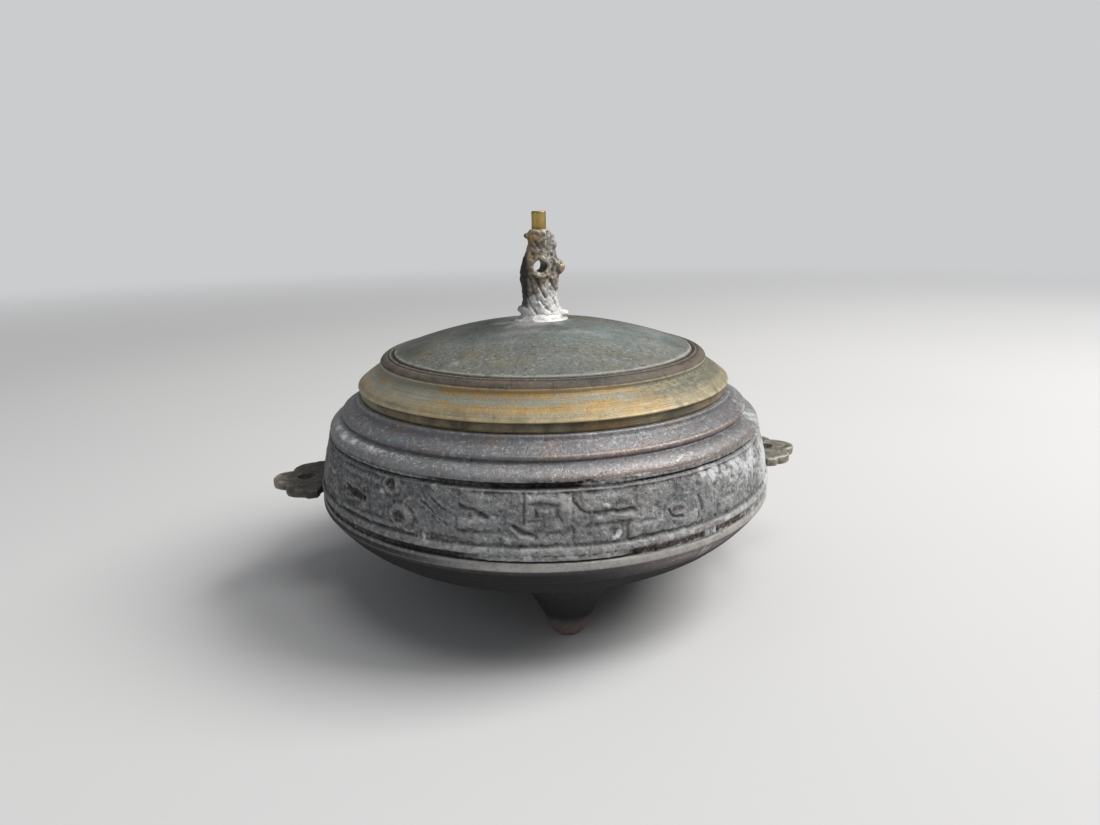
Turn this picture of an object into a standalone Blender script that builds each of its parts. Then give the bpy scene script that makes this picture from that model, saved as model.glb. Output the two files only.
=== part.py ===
"""Bronze incense burner: a three-footed bowl with two pierced lugs, and a domed lid with a pierced knop.

Metres, +Z up. The origin is on the table, on the bowl's own axis. One foot points to -Y and the lugs lie
along X. The lid lifts off. The outlines of the turned pieces are lists of (radius, height) pairs, with
arcs for their round stretches.
"""

from math import acos, atan2, ceil, cos, degrees, hypot, pi, radians, sin

import bmesh
import bpy
from mathutils import Matrix, Vector

# General

MM = 0.001
GAP = 0.0003
OVERSHOOT = 0.002
TURNED_STEPS = 42
MERGE = 0.00001

# Bowl

WALL = 0.0032
MOUTH_RADIUS = 0.0576
COLLAR_RADIUS = 0.0619
SEAT_HEIGHT = 0.0678
BEAD_RADIUS = 0.0668
BEAD_HEIGHT = 0.0631
ROLL_RADIUS = 0.0714
ROLL_HEIGHT = 0.0573
ROLL_BEND = 0.0026
RECESS_RADIUS = 0.0698
FIELD_TOP_RADIUS = 0.0719
FIELD_TOP = 0.0537
FIELD_LOW_RADIUS = 0.0746
FIELD_LOW = 0.0418
LIP_RADIUS = 0.0752
LOW_RECESS_RADIUS = 0.0737
FLANGE_RADIUS = 0.0752
FLANGE_TOP = 0.0372
FLANGE_LOW = 0.0350
BELLY_BOTTOM = 0.0180
BELLY_FLAT_RADIUS = 0.0440
BELLY_POWER = 2.6

# Feet

FOOT_COUNT = 3
FOOT_CIRCLE = 0.0440
FOOT_TIP_RADIUS = 0.0050
FOOT_SOLE_RADIUS = 0.0042
FOOT_ROOT_RADIUS = 0.0138
FOOT_ROOT_HEIGHT = 0.0250
FOOT_STEPS = 16

# Frieze, whose angles are in degrees, counted from the front foot towards +X

RELIEF_HEIGHT = 0.0008
RELIEF_ROOT = 0.0012
RELIEF_CORNER = 0.0007
RELIEF_TURN = -8.0
RELIEF_REPEATS = 2
RELIEF_STEP = 9.0
EYE_SIDES = 8

# Lugs

LUG_THICKNESS = 0.0030
LUG_MIDDLE = 0.0385
LUG_ROOT = FLANGE_RADIUS + GAP
LUG_HALF_WIDTH = 0.0154
LUG_SHOULDER = 0.0785
LUG_TIP_CENTRE = 0.0856
LUG_TIP_RADIUS = 0.0062
LUG_LOBE_CENTRE = (0.0802, 0.0076)
LUG_LOBE_RADIUS = 0.0064
LUG_HOLE_CENTRE = 0.0810
LUG_HOLE_RADIUS = 0.0026
LUG_HOLE_SIDES = 12
LUG_ROUNDING = 0.0006

# Lid

LID_WALL = 0.0026
DOME_TOP = 0.0900
DOME_RADIUS = 0.0489
DOME_RISE = 0.0091
DOME_RINGS = 4
STEP_RADIUS = 0.0539
STEP_HEIGHT = 0.0784
BRIM_RADIUS = 0.0613
BRIM_HEIGHT = 0.0716
RIM_RADIUS = 0.0608
RIM_LOW = 0.0686
LIP_OUTER_RADIUS = MOUTH_RADIUS - 0.0006
LIP_INNER_RADIUS = LIP_OUTER_RADIUS - 0.0024
LIP_LOW = 0.0637

# Knop and its brass pin

KNOP_TURN = 6.0
KNOP_FOOT = DOME_TOP + GAP
KNOP_HEIGHT = 0.0285
KNOP_SIDES = 14
KNOP_HOLE_RADIUS = 0.0020
KNOP_HOLE_X = -0.0012
KNOP_HOLE_HEIGHT = 0.0170
KNOP_HOLE_SIDES = 14
PIN_RADIUS = 0.00235
PIN_SHOWN = 0.0058
PIN_SOCKET = 0.0045
PIN_SIDES = 18
PIN_OFFSET = -0.0005

# Finishes: base colour, metallic, roughness

FINISHES = {
    "bowl_bronze": ((0.15, 0.145, 0.15), 0.55, 0.55),
    "lug_bronze": ((0.25, 0.22, 0.18), 0.6, 0.5),
    "lid_bronze": ((0.24, 0.21, 0.13), 0.6, 0.45),
    "knop_bronze": ((0.27, 0.25, 0.22), 0.5, 0.5),
    "brass": ((0.72, 0.52, 0.18), 1.0, 0.3),
}


# Helpers


def clear_scene():
    for thing in list(bpy.data.objects):
        bpy.data.objects.remove(thing, do_unlink=True)


def new_collection(name):
    made = bpy.data.collections.new(name)
    bpy.context.scene.collection.children.link(made)
    return made


def new_finish(name):
    colour, metallic, roughness = FINISHES[name]
    made = bpy.data.materials.new(name)
    made.use_nodes = True
    shader = made.node_tree.nodes["Principled BSDF"]
    shader.inputs["Base Color"].default_value = (*colour, 1.0)
    shader.inputs["Metallic"].default_value = metallic
    shader.inputs["Roughness"].default_value = roughness
    made.diffuse_color = (*colour, 1.0)
    return made


def add_object(name, mesh, collection, finish=None):
    made = bpy.data.objects.new(name, mesh)
    collection.objects.link(made)
    if finish:
        mesh.materials.append(new_finish(finish))
    return made


def mesh_from(bm, name):
    mesh = bpy.data.meshes.new(name)
    bm.to_mesh(mesh)
    bm.free()
    return mesh


def shade_round(mesh, sharp_from=35.0):
    mesh.shade_smooth()
    mesh.set_sharp_from_angle(angle=radians(sharp_from))


def make_helper(thing):
    thing.hide_render = True
    thing.display_type = "WIRE"


def arc(centre_r, centre_z, radius, start, end, steps):
    """Points of an arc, from start to end degrees, where 0 points outwards and 90 up."""
    turns = [radians(start + (end - start) * i / steps) for i in range(steps + 1)]
    return [(centre_r + radius * cos(t), centre_z + radius * sin(t)) for t in turns]


def turned(name, outline, collection, finish=None, steps=TURNED_STEPS):
    """A turned piece, from an outline that runs down its outer side."""
    mesh = bpy.data.meshes.new(name)
    points = [(r, 0.0, z) for r, z in outline]
    mesh.from_pydata(points, [(i, i + 1) for i in range(len(points) - 1)], [])
    made = add_object(name, mesh, collection, finish)
    screw = made.modifiers.new("turn", "SCREW")
    screw.axis = "Z"
    screw.angle = 2 * pi
    screw.steps = steps
    screw.render_steps = steps
    screw.use_merge_vertices = True
    screw.merge_threshold = MERGE
    screw.use_smooth_shade = True
    return made


def combine(target, other, operation):
    step = target.modifiers.new(f"{operation.lower()} {other.name}", "BOOLEAN")
    step.operation = operation
    step.solver = "EXACT"
    step.object = other
    make_helper(other)


# Bowl


def field_radius(height):
    """Radius of the frieze's ground at a height."""
    share = (height - FIELD_LOW) / (FIELD_TOP - FIELD_LOW)
    return FIELD_LOW_RADIUS + (FIELD_TOP_RADIUS - FIELD_LOW_RADIUS) * share


def belly_height(radius):
    """Height of the bowl's underside at a radius."""
    share = (radius - BELLY_FLAT_RADIUS) / (FLANGE_RADIUS - BELLY_FLAT_RADIUS)
    return BELLY_BOTTOM + (FLANGE_LOW - BELLY_BOTTOM) * max(share, 0.0) ** BELLY_POWER


def belly_inside(radius):
    """The point one wall in from the underside, square to it."""
    reach = MM / 10
    slope = (belly_height(radius + reach) - belly_height(radius - reach)) / (2 * reach)
    length = hypot(1.0, slope)
    return (radius - WALL * slope / length, belly_height(radius) + WALL / length)


def bowl_outline():
    belly = [0.0718, 0.0665, 0.0585, BELLY_FLAT_RADIUS, 0.0]
    return [
        (0.0, SEAT_HEIGHT),
        (COLLAR_RADIUS, SEAT_HEIGHT),
        (COLLAR_RADIUS - 0.0003, SEAT_HEIGHT - 0.0016),
        (COLLAR_RADIUS + 0.0026, SEAT_HEIGHT - 0.0030),
        (BEAD_RADIUS - 0.0003, BEAD_HEIGHT + 0.0006),
        (BEAD_RADIUS, BEAD_HEIGHT),
        (BEAD_RADIUS - 0.0007, BEAD_HEIGHT - 0.0011),
        *arc(ROLL_RADIUS - ROLL_BEND, ROLL_HEIGHT, ROLL_BEND, 70, -38, 4),
        (RECESS_RADIUS, FIELD_TOP + 0.0017),
        (RECESS_RADIUS, FIELD_TOP + 0.0012),
        (FIELD_TOP_RADIUS + 0.0003, FIELD_TOP + 0.0010),
        (FIELD_TOP_RADIUS, FIELD_TOP),
        (FIELD_LOW_RADIUS, FIELD_LOW),
        (LIP_RADIUS, FIELD_LOW - 0.0012),
        (LIP_RADIUS - 0.0002, FIELD_LOW - 0.0024),
        (LOW_RECESS_RADIUS, FIELD_LOW - 0.0029),
        (LOW_RECESS_RADIUS, FLANGE_TOP + 0.0005),
        (FLANGE_RADIUS - 0.0004, FLANGE_TOP),
        (FLANGE_RADIUS, FLANGE_TOP - 0.0006),
        (FLANGE_RADIUS - 0.0002, FLANGE_LOW),
        *[(radius, belly_height(radius)) for radius in belly],
    ]


def cavity_outline():
    """The hollow inside the bowl, open at the mouth, one wall in from the outside."""
    belly = [0.0725, 0.0665, 0.0580, BELLY_FLAT_RADIUS]
    return [
        (0.0, SEAT_HEIGHT + OVERSHOOT),
        (MOUTH_RADIUS, SEAT_HEIGHT + OVERSHOOT),
        (MOUTH_RADIUS, BEAD_HEIGHT + 0.0009),
        (BEAD_RADIUS - WALL - 0.0009, ROLL_HEIGHT + 0.0027),
        (RECESS_RADIUS - WALL, FIELD_TOP + 0.0008),
        (LOW_RECESS_RADIUS - WALL, FIELD_LOW),
        (LOW_RECESS_RADIUS - WALL, FLANGE_TOP),
        *[belly_inside(radius) for radius in belly],
        (0.0, BELLY_BOTTOM + WALL),
    ]


def foot_outline():
    side = FOOT_TIP_RADIUS + (FOOT_ROOT_RADIUS - FOOT_TIP_RADIUS) * 0.5 + 0.0003
    return [
        (0.0, FOOT_ROOT_HEIGHT),
        (FOOT_ROOT_RADIUS + 0.0006, FOOT_ROOT_HEIGHT),
        (side, FOOT_ROOT_HEIGHT * 0.48),
        (FOOT_TIP_RADIUS, 0.0012),
        (FOOT_SOLE_RADIUS, 0.0),
        (0.0, 0.0),
    ]


def add_feet(bowl, helpers):
    for i in range(FOOT_COUNT):
        turn = -pi / 2 + 2 * pi * i / FOOT_COUNT
        foot = turned(f"foot_{i + 1}", foot_outline(), helpers, steps=FOOT_STEPS)
        foot.location = (FOOT_CIRCLE * cos(turn), FOOT_CIRCLE * sin(turn), 0.0)
        foot.rotation_euler = (0.0, 0.0, turn)
        combine(bowl, foot, "UNION")


# Frieze


def rounded_box(start, end, low, high):
    """A rectangle with cut corners as (degrees, mm) points, counter-clockwise."""
    corner = min(RELIEF_CORNER / MM, (high - low) * 0.4)
    wide = degrees(corner * MM / FIELD_LOW_RADIUS)
    return [
        (end, high - corner),
        (end - wide, high),
        (start + wide, high),
        (start, high - corner),
        (start, low + corner),
        (start + wide, low),
        (end - wide, low),
        (end, low + corner),
    ]


def oval(angle, height, half_length, half_height):
    """An oval as (degrees, mm) points, with its halves in mm."""
    wide = degrees(half_length * MM / FIELD_LOW_RADIUS)
    turns = [2 * pi * i / EYE_SIDES for i in range(EYE_SIDES)]
    return [(angle + wide * cos(t), height + half_height * sin(t)) for t in turns]


def slanted_bar(start, start_height, end, end_height, width):
    """A straight bar between two places on the frieze, as (degrees, mm) points."""
    run = radians(end - start) * FIELD_LOW_RADIUS / MM
    rise = end_height - start_height
    length = hypot(run, rise)
    side_angle = degrees(-rise / length * width / 2 * MM / FIELD_LOW_RADIUS)
    side_height = run / length * width / 2
    return [
        (start - side_angle, start_height - side_height),
        (end - side_angle, end_height - side_height),
        (end + side_angle, end_height + side_height),
        (start + side_angle, start_height + side_height),
    ]


def relief_shapes():
    """The worn archaic figures of one half of the frieze, as outlines, some with an inner outline.

    Their heights and widths are in mm above the frieze's low edge.
    """
    return [
        # Middle: a framed square
        (rounded_box(-4.6, 5.0, 4.4, 11.7), rounded_box(-2.6, 3.0, 6.0, 10.3)),
        (rounded_box(-1.3, 1.7, 7.0, 9.3), None),
        (rounded_box(-5.5, 4.5, 0.8, 3.1), None),
        # Right: stepped cloud bars, an eye over a low panel, and a dividing strip
        (rounded_box(6.6, 18.6, 8.3, 11.5), None),
        (rounded_box(10.4, 18.0, 5.9, 7.4), None),
        (rounded_box(6.2, 14.6, 0.9, 4.6), None),
        (rounded_box(20.6, 34.0, 8.9, 11.5), None),
        (rounded_box(16.6, 34.0, 0.7, 2.3), None),
        (oval(28.2, 5.4, 3.2, 2.1), oval(28.2, 5.4, 1.7, 0.9)),
        (rounded_box(20.4, 23.4, 3.8, 7.5), None),
        (rounded_box(35.7, 38.9, 0.3, 11.5), None),
        (rounded_box(40.6, 53.0, 7.7, 11.4), None),
        (rounded_box(40.6, 53.0, 0.9, 4.5), None),
        (rounded_box(55.6, 66.0, 2.7, 9.5), rounded_box(58.0, 63.6, 4.3, 7.9)),
        # Left: fins, an eye, and a long lens
        (slanted_bar(-8.6, 9.3, -16.6, 10.8, 1.6), None),
        (slanted_bar(-8.4, 5.6, -17.2, 8.1, 2.0), None),
        (rounded_box(-18.4, -8.0, 0.9, 4.0), None),
        (slanted_bar(-19.6, 5.4, -26.8, 9.8, 1.5), None),
        (slanted_bar(-20.8, 8.5, -26.4, 11.4, 1.3), None),
        (slanted_bar(-20.0, 2.3, -27.4, 6.4, 1.6), None),
        (oval(-32.4, 4.9, 3.8, 2.8), oval(-32.4, 4.9, 2.0, 1.3)),
        (oval(-35.2, 10.3, 2.8, 1.3), None),
        (oval(-47.2, 6.0, 6.6, 2.9), oval(-47.2, 6.2, 4.8, 1.4)),
        (rounded_box(-53.0, -39.6, 10.2, 11.7), None),
        (rounded_box(-53.0, -29.6, 0.5, 1.7), None),
        (rounded_box(-66.0, -56.0, 2.7, 9.5), rounded_box(-63.6, -58.4, 4.3, 7.9)),
    ]


def wrap_on_frieze(bm, turn):
    """Bends flat shapes, whose x is degrees, y mm and z depth in metres, round the bowl."""
    for vertex in bm.verts:
        angle = radians(vertex.co.x + turn - 90.0)
        height = FIELD_LOW + vertex.co.y * MM
        radius = field_radius(height) + vertex.co.z
        vertex.co = (radius * cos(angle), radius * sin(angle), height)


def relief_piece(outer, inner, turn):
    """One raised figure: drawn flat, cut across so that it can bend, raised, and wrapped on the bowl."""
    bm = bmesh.new()
    rings = []
    for outline in (outer, inner):
        if outline:
            points = [bm.verts.new((a, h, -RELIEF_ROOT)) for a, h in outline]
            rings.append([bm.edges.new((p, points[i - 1])) for i, p in enumerate(points)])
    if inner:
        bmesh.ops.bridge_loops(bm, edges=rings[0] + rings[1])
    else:
        bmesh.ops.contextual_create(bm, geom=rings[0])
    low = min(a for a, _ in outer)
    high = max(a for a, _ in outer)
    cuts = ceil((high - low) / RELIEF_STEP) - 1
    for i in range(cuts):
        place = low + (high - low) * (i + 1) / (cuts + 1)
        geom = bm.verts[:] + bm.edges[:] + bm.faces[:]
        bmesh.ops.bisect_plane(bm, geom=geom, plane_co=(place, 0, 0), plane_no=(1, 0, 0))
    top = bmesh.ops.extrude_face_region(bm, geom=bm.faces[:], use_keep_orig=True)["geom"]
    raised = [part for part in top if isinstance(part, bmesh.types.BMVert)]
    bmesh.ops.translate(bm, verts=raised, vec=(0, 0, RELIEF_HEIGHT + RELIEF_ROOT))
    bmesh.ops.recalc_face_normals(bm, faces=bm.faces)
    bmesh.ops.triangulate(bm, faces=bm.faces)
    wrap_on_frieze(bm, turn)
    if bm.calc_volume(signed=True) < 0:
        bmesh.ops.reverse_faces(bm, faces=bm.faces)
    return mesh_from(bm, "figure")


def frieze_relief(helpers):
    bm = bmesh.new()
    for i in range(RELIEF_REPEATS):
        for outer, inner in relief_shapes():
            figure = relief_piece(outer, inner, RELIEF_TURN + 360.0 * i / RELIEF_REPEATS)
            bm.from_mesh(figure)
            bpy.data.meshes.remove(figure)
    return add_object("relief", mesh_from(bm, "relief"), helpers)


def build_bowl(parts, helpers):
    bowl = turned("bowl", bowl_outline(), parts, "bowl_bronze")
    combine(bowl, frieze_relief(helpers), "UNION")
    add_feet(bowl, helpers)
    combine(bowl, turned("bowl_hollow", cavity_outline(), helpers), "DIFFERENCE")


# Lugs


def circles_meet(first, first_radius, second, second_radius):
    """The meeting point of two circles that lies further from the lug's middle line."""
    gap = hypot(second[0] - first[0], second[1] - first[1])
    towards = atan2(second[1] - first[1], second[0] - first[0])
    swing = acos((first_radius**2 + gap**2 - second_radius**2) / (2 * first_radius * gap))
    angles = (towards + swing, towards - swing)
    points = [
        (first[0] + first_radius * cos(a), first[1] + first_radius * sin(a)) for a in angles
    ]
    return max(points, key=lambda point: point[0])


def angle_at(centre, point):
    return degrees(atan2(point[1] - centre[1], point[0] - centre[0]))


def lug_outline():
    """Half a ruyi-cloud outline, from the tip to the root, then mirrored."""
    tip = (LUG_TIP_CENTRE, 0.0)
    notch = circles_meet(tip, LUG_TIP_RADIUS, LUG_LOBE_CENTRE, LUG_LOBE_RADIUS)
    upper = [
        *arc(*tip, LUG_TIP_RADIUS, 0, angle_at(tip, notch), 4)[:-1],
        *arc(*LUG_LOBE_CENTRE, LUG_LOBE_RADIUS, angle_at(LUG_LOBE_CENTRE, notch), 84, 4),
        (LUG_SHOULDER - 0.0022, LUG_HALF_WIDTH),
        (LUG_ROOT, LUG_HALF_WIDTH),
    ]
    lower = [(x, -y) for x, y in reversed(upper[1:])]
    return upper + lower


def flat_spline(curve, points):
    spline = curve.splines.new("POLY")
    spline.points.add(len(points) - 1)
    for place, (x, y) in zip(spline.points, points):
        place.co = (x, y, 0.0, 1.0)
    spline.use_cyclic_u = True


def build_lug(name, turn, parts):
    curve = bpy.data.curves.new(name, "CURVE")
    curve.dimensions = "2D"
    curve.fill_mode = "BOTH"
    curve.extrude = LUG_THICKNESS / 2
    flat_spline(curve, lug_outline())
    step = 360 / LUG_HOLE_SIDES
    flat_spline(curve, arc(LUG_HOLE_CENTRE, 0.0, LUG_HOLE_RADIUS, 0, 360 - step, LUG_HOLE_SIDES - 1))
    lug = add_object(name, curve, parts, "lug_bronze")
    lug.location = (0.0, 0.0, LUG_MIDDLE)
    lug.rotation_euler = (0.0, 0.0, radians(turn))
    weld = lug.modifiers.new("weld", "WELD")
    weld.merge_threshold = MERGE
    bevel = lug.modifiers.new("rounded edges", "BEVEL")
    bevel.width = LUG_ROUNDING
    bevel.segments = 1
    bevel.limit_method = "ANGLE"
    bevel.angle_limit = radians(60)


# Lid


def dome_height(radius):
    return DOME_TOP - DOME_RISE * (radius / DOME_RADIUS) ** 2


def lid_outline():
    """Down the dome, the stepped brim and the rim, then under it and up inside."""
    dome = [DOME_RADIUS * i / DOME_RINGS for i in range(DOME_RINGS + 1)]
    inside = [LIP_INNER_RADIUS * 0.86 * i / (DOME_RINGS - 1) for i in range(DOME_RINGS)]
    seat = SEAT_HEIGHT + GAP
    return [
        *[(r, dome_height(r)) for r in dome],
        (DOME_RADIUS + 0.0006, dome_height(DOME_RADIUS) - 0.0011),
        (DOME_RADIUS + 0.0034, STEP_HEIGHT + 0.0013),
        (STEP_RADIUS, STEP_HEIGHT),
        (STEP_RADIUS - 0.0003, STEP_HEIGHT - 0.0012),
        (STEP_RADIUS + 0.0007, STEP_HEIGHT - 0.0024),
        (STEP_RADIUS + 0.0031, STEP_HEIGHT - 0.0041),
        (BRIM_RADIUS - 0.0010, BRIM_HEIGHT + 0.0008),
        (BRIM_RADIUS, BRIM_HEIGHT - 0.0003),
        (RIM_RADIUS, BRIM_HEIGHT - 0.0011),
        (RIM_RADIUS, RIM_LOW),
        (RIM_RADIUS - 0.0006, seat),
        (LIP_OUTER_RADIUS, seat),
        (LIP_OUTER_RADIUS - 0.0003, LIP_LOW),
        (LIP_INNER_RADIUS, LIP_LOW),
        (LIP_INNER_RADIUS, BRIM_HEIGHT),
        *[(r, dome_height(r) - LID_WALL) for r in reversed(inside)],
    ]


def build_lid(parts):
    turned("lid", lid_outline(), parts, "lid_bronze")


# Knop and its pin


def knop_sections():
    """Height share of the knop, middle of the section across it, half width, half depth."""
    return (
        (0.00, 0.0002, 0.0071, 0.0057),
        (0.05, -0.0001, 0.0070, 0.0056),
        (0.15, -0.0004, 0.0061, 0.0048),
        (0.25, -0.0006, 0.0057, 0.0044),
        (0.35, -0.0006, 0.0062, 0.0045),
        (0.45, -0.0006, 0.0065, 0.0046),
        (0.56, -0.0005, 0.0065, 0.0045),
        (0.66, -0.0003, 0.0061, 0.0042),
        (0.75, -0.0001, 0.0050, 0.0038),
        (0.83, 0.0002, 0.0044, 0.0036),
        (0.92, -0.0001, 0.0042, 0.0036),
        (1.00, -0.0005, 0.0033, 0.0032),
    )


def loft(bm, rings):
    """Walls between rings of vertices, and a cap on both ends."""
    for low, high in zip(rings, rings[1:]):
        for i, corner in enumerate(low):
            bm.faces.new((low[i - 1], corner, high[i], high[i - 1]))
    bm.faces.new(reversed(rings[0]))
    bm.faces.new(rings[-1])


def knop_body(parts):
    bm = bmesh.new()
    rings = []
    for share, middle, half_width, half_depth in knop_sections():
        turns = [2 * pi * i / KNOP_SIDES for i in range(KNOP_SIDES)]
        height = KNOP_HEIGHT * share
        rings.append(
            [bm.verts.new((middle + half_width * cos(t), half_depth * sin(t), height)) for t in turns]
        )
    loft(bm, rings)
    bmesh.ops.recalc_face_normals(bm, faces=bm.faces)
    mesh = mesh_from(bm, "knop")
    shade_round(mesh)
    return add_object("knop", mesh, parts, "knop_bronze")


def knop_lobe(name, centre, size, lean, helpers):
    """A rounded lobe of the knop: a small ball, stretched and leaned over."""
    bm = bmesh.new()
    bmesh.ops.create_uvsphere(bm, u_segments=8, v_segments=6, radius=1.0)
    bmesh.ops.scale(bm, vec=size, verts=bm.verts)
    bmesh.ops.rotate(bm, matrix=Matrix.Rotation(radians(lean), 3, "Y"), verts=bm.verts)
    bmesh.ops.translate(bm, vec=centre, verts=bm.verts)
    return add_object(name, mesh_from(bm, name), helpers)


def bar(name, radius, start, end, sides, helpers):
    """A round bar between two points."""
    run = Vector(end) - Vector(start)
    bm = bmesh.new()
    bmesh.ops.create_cone(
        bm, cap_ends=True, segments=sides, radius1=radius, radius2=radius, depth=run.length
    )
    turn = run.to_track_quat("Z", "Y").to_matrix()
    bmesh.ops.rotate(bm, matrix=turn, verts=bm.verts)
    bmesh.ops.translate(bm, vec=(Vector(start) + Vector(end)) / 2, verts=bm.verts)
    return add_object(name, mesh_from(bm, name), helpers)


def build_knop(parts, helpers):
    seat = bpy.data.objects.new("knop_seat", None)
    parts.objects.link(seat)
    seat.location = (0.0, 0.0, KNOP_FOOT)
    seat.rotation_euler = (0.0, 0.0, radians(KNOP_TURN))
    knop = knop_body(parts)
    top = KNOP_HEIGHT
    lobes = (
        ("snout", (0.0052, 0.0, 0.0165), (0.0027, 0.0030, 0.0027), 20.0),
        ("beak", (-0.0036, 0.0, top - 0.0023), (0.0021, 0.0016, 0.0010), 20.0),
        ("crest", (0.0033, 0.0, top - 0.0023), (0.0013, 0.0019, 0.0010), -20.0),
        ("nape", (0.0037, 0.0, top - 0.0050), (0.0014, 0.0024, 0.0018), 0.0),
        ("left_toe", (-0.0062, 0.0, 0.0030), (0.0020, 0.0034, 0.0013), 0.0),
        ("right_toe", (0.0066, 0.0, 0.0011), (0.0025, 0.0036, 0.0010), 0.0),
    )
    for name, centre, size, lean in lobes:
        combine(knop, knop_lobe(name, centre, size, lean, helpers), "UNION")
    reach = 0.0090
    hole = bar(
        "knop_hole",
        KNOP_HOLE_RADIUS,
        (KNOP_HOLE_X, -reach, KNOP_HOLE_HEIGHT),
        (KNOP_HOLE_X, reach, KNOP_HOLE_HEIGHT),
        KNOP_HOLE_SIDES,
        helpers,
    )
    socket = bar(
        "pin_socket",
        PIN_RADIUS + GAP,
        (PIN_OFFSET, 0.0, top - PIN_SOCKET),
        (PIN_OFFSET, 0.0, top + OVERSHOOT),
        PIN_SIDES,
        helpers,
    )
    combine(knop, hole, "DIFFERENCE")
    combine(knop, socket, "DIFFERENCE")
    pin_low = top - PIN_SOCKET + GAP
    pin = bar(
        "pin",
        PIN_RADIUS,
        (PIN_OFFSET, 0.0, pin_low),
        (PIN_OFFSET, 0.0, top + PIN_SHOWN),
        PIN_SIDES,
        parts,
    )
    pin.data.materials.append(new_finish("brass"))
    shade_round(pin.data)
    bevel = pin.modifiers.new("rounded ends", "BEVEL")
    bevel.width = 0.0003
    bevel.segments = 1
    for helper in [knop, pin, hole, socket] + [bpy.data.objects[lobe[0]] for lobe in lobes]:
        helper.parent = seat


def main():
    clear_scene()
    parts = new_collection("incense_burner")
    helpers = new_collection("shaping helpers")
    build_bowl(parts, helpers)
    build_lug("lug_right", 0.0, parts)
    build_lug("lug_left", 180.0, parts)
    build_lid(parts)
    build_knop(parts, helpers)


main()
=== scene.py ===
"""Bronze incense burner: a three-footed bowl with a cast frieze, two pierced lugs, a domed lid and a knop.

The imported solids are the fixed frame, and every piece here is dressed around them. Outlines are drawn in
mm for a bowl of the radius DRAWN_RADIUS, and take their real scale from the frame. +Z is up, and the
front foot points to -Y.
"""

from math import cos, pi, radians, sin

import bmesh
import bpy
import numpy as np
from mathutils import Matrix, Vector, noise


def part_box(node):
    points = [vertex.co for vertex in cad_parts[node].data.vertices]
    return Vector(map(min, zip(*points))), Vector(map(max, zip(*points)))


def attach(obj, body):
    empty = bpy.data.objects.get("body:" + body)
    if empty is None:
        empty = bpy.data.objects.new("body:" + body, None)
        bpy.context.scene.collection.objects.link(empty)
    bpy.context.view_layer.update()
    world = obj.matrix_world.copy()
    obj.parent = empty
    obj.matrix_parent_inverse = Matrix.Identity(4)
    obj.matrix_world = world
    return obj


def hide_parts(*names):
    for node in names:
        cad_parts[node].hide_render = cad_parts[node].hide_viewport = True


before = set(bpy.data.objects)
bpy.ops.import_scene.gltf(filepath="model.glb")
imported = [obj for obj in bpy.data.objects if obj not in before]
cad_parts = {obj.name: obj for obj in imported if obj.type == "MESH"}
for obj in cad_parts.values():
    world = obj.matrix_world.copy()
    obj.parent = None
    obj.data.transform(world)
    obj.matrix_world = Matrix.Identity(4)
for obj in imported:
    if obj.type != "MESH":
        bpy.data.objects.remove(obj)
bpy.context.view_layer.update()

bl_info = {
    "name": "Bronze incense burner",
    "version": (1, 0, 0),
    "blender": (4, 5, 0),
    "location": "View3D > Sidebar > Incense burner",
    "description": "Builds a footed bronze censer with a worn frieze, pierced lugs, lid and knop",
    "category": "Object",
}

# Driving dimensions, read from the frame

ROOT = "root"
DRAWN_RADIUS = 75.2
BOWL_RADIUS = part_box("bowl")[1].x
MM = BOWL_RADIUS / DRAWN_RADIUS
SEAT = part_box("bowl")[1].z / MM
LID_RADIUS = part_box("lid")[1].x / MM
LID_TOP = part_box("lid")[1].z / MM
LID_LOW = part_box("lid")[0].z / MM
KNOP_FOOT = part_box("knop")[0].z / MM
KNOP_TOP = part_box("knop")[1].z / MM
PIN_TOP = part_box("pin")[1].z / MM
LUG_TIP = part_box("lug_right")[1].x / MM
LUG_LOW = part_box("lug_right")[0].z / MM
LUG_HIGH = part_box("lug_right")[1].z / MM
MERGE = 1e-7
LEVEL_LIMIT = 1e-6

# Bowl, in mm

WALL = 3.2
MOUTH_RADIUS = 57.6
COLLAR_RADIUS = 61.9
FIELD_TOP = 55.9
FIELD_LOW = 41.8
FLANGE_LOW = 35.0
BELLY_BOTTOM = 18.0
BELLY_FLAT_RADIUS = 44.0
BELLY_POWER = 2.6
BAND_CUTS = 3
BAND_TOP = 58.3
BAND_LOW = 37.4
BAND_RADIUS = 69.0
LOW_FILL_RADIUS = 74.95
HIGH_FILL_RADIUS = 71.12
FOOT_CIRCLE = 44.0
FOOT_STEPS = 72

# Frieze: degrees are counted from the middle of the front, as the figures face it

FRIEZE_TURN = -8.0
FRIEZE_REPEAT = 180.0
FRIEZE_RADIUS = 73.5
PATCH_RADIUS = 73.0
FIGURE_EDGE = 0.70

# Lid, in mm

DOME_RADIUS = 48.9
DOME_RISE = 9.1
LID_WALL = 2.6
LID_STEPS = 384


# Shapes


def arc(centre_r, centre_z, radius, start, end, steps):
    """Points of an arc, from start to end degrees, where 0 points outwards and 90 up."""
    turns = [radians(start + (end - start) * i / steps) for i in range(steps + 1)]
    return [(centre_r + radius * cos(t), centre_z + radius * sin(t)) for t in turns]


def spaced(points, step):
    """The same outline with points no further apart than step."""
    made = [points[0]]
    for (r0, z0), (r1, z1) in zip(points, points[1:]):
        parts = max(1, int(np.ceil(np.hypot(r1 - r0, z1 - z0) / step)))
        made += [(r0 + (r1 - r0) * i / parts, z0 + (z1 - z0) * i / parts) for i in range(1, parts + 1)]
    return made


def smooth_step(low, high, value):
    share = np.clip((value - low) / (high - low), 0.0, 1.0)
    return share * share * (3.0 - 2.0 * share)


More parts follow.
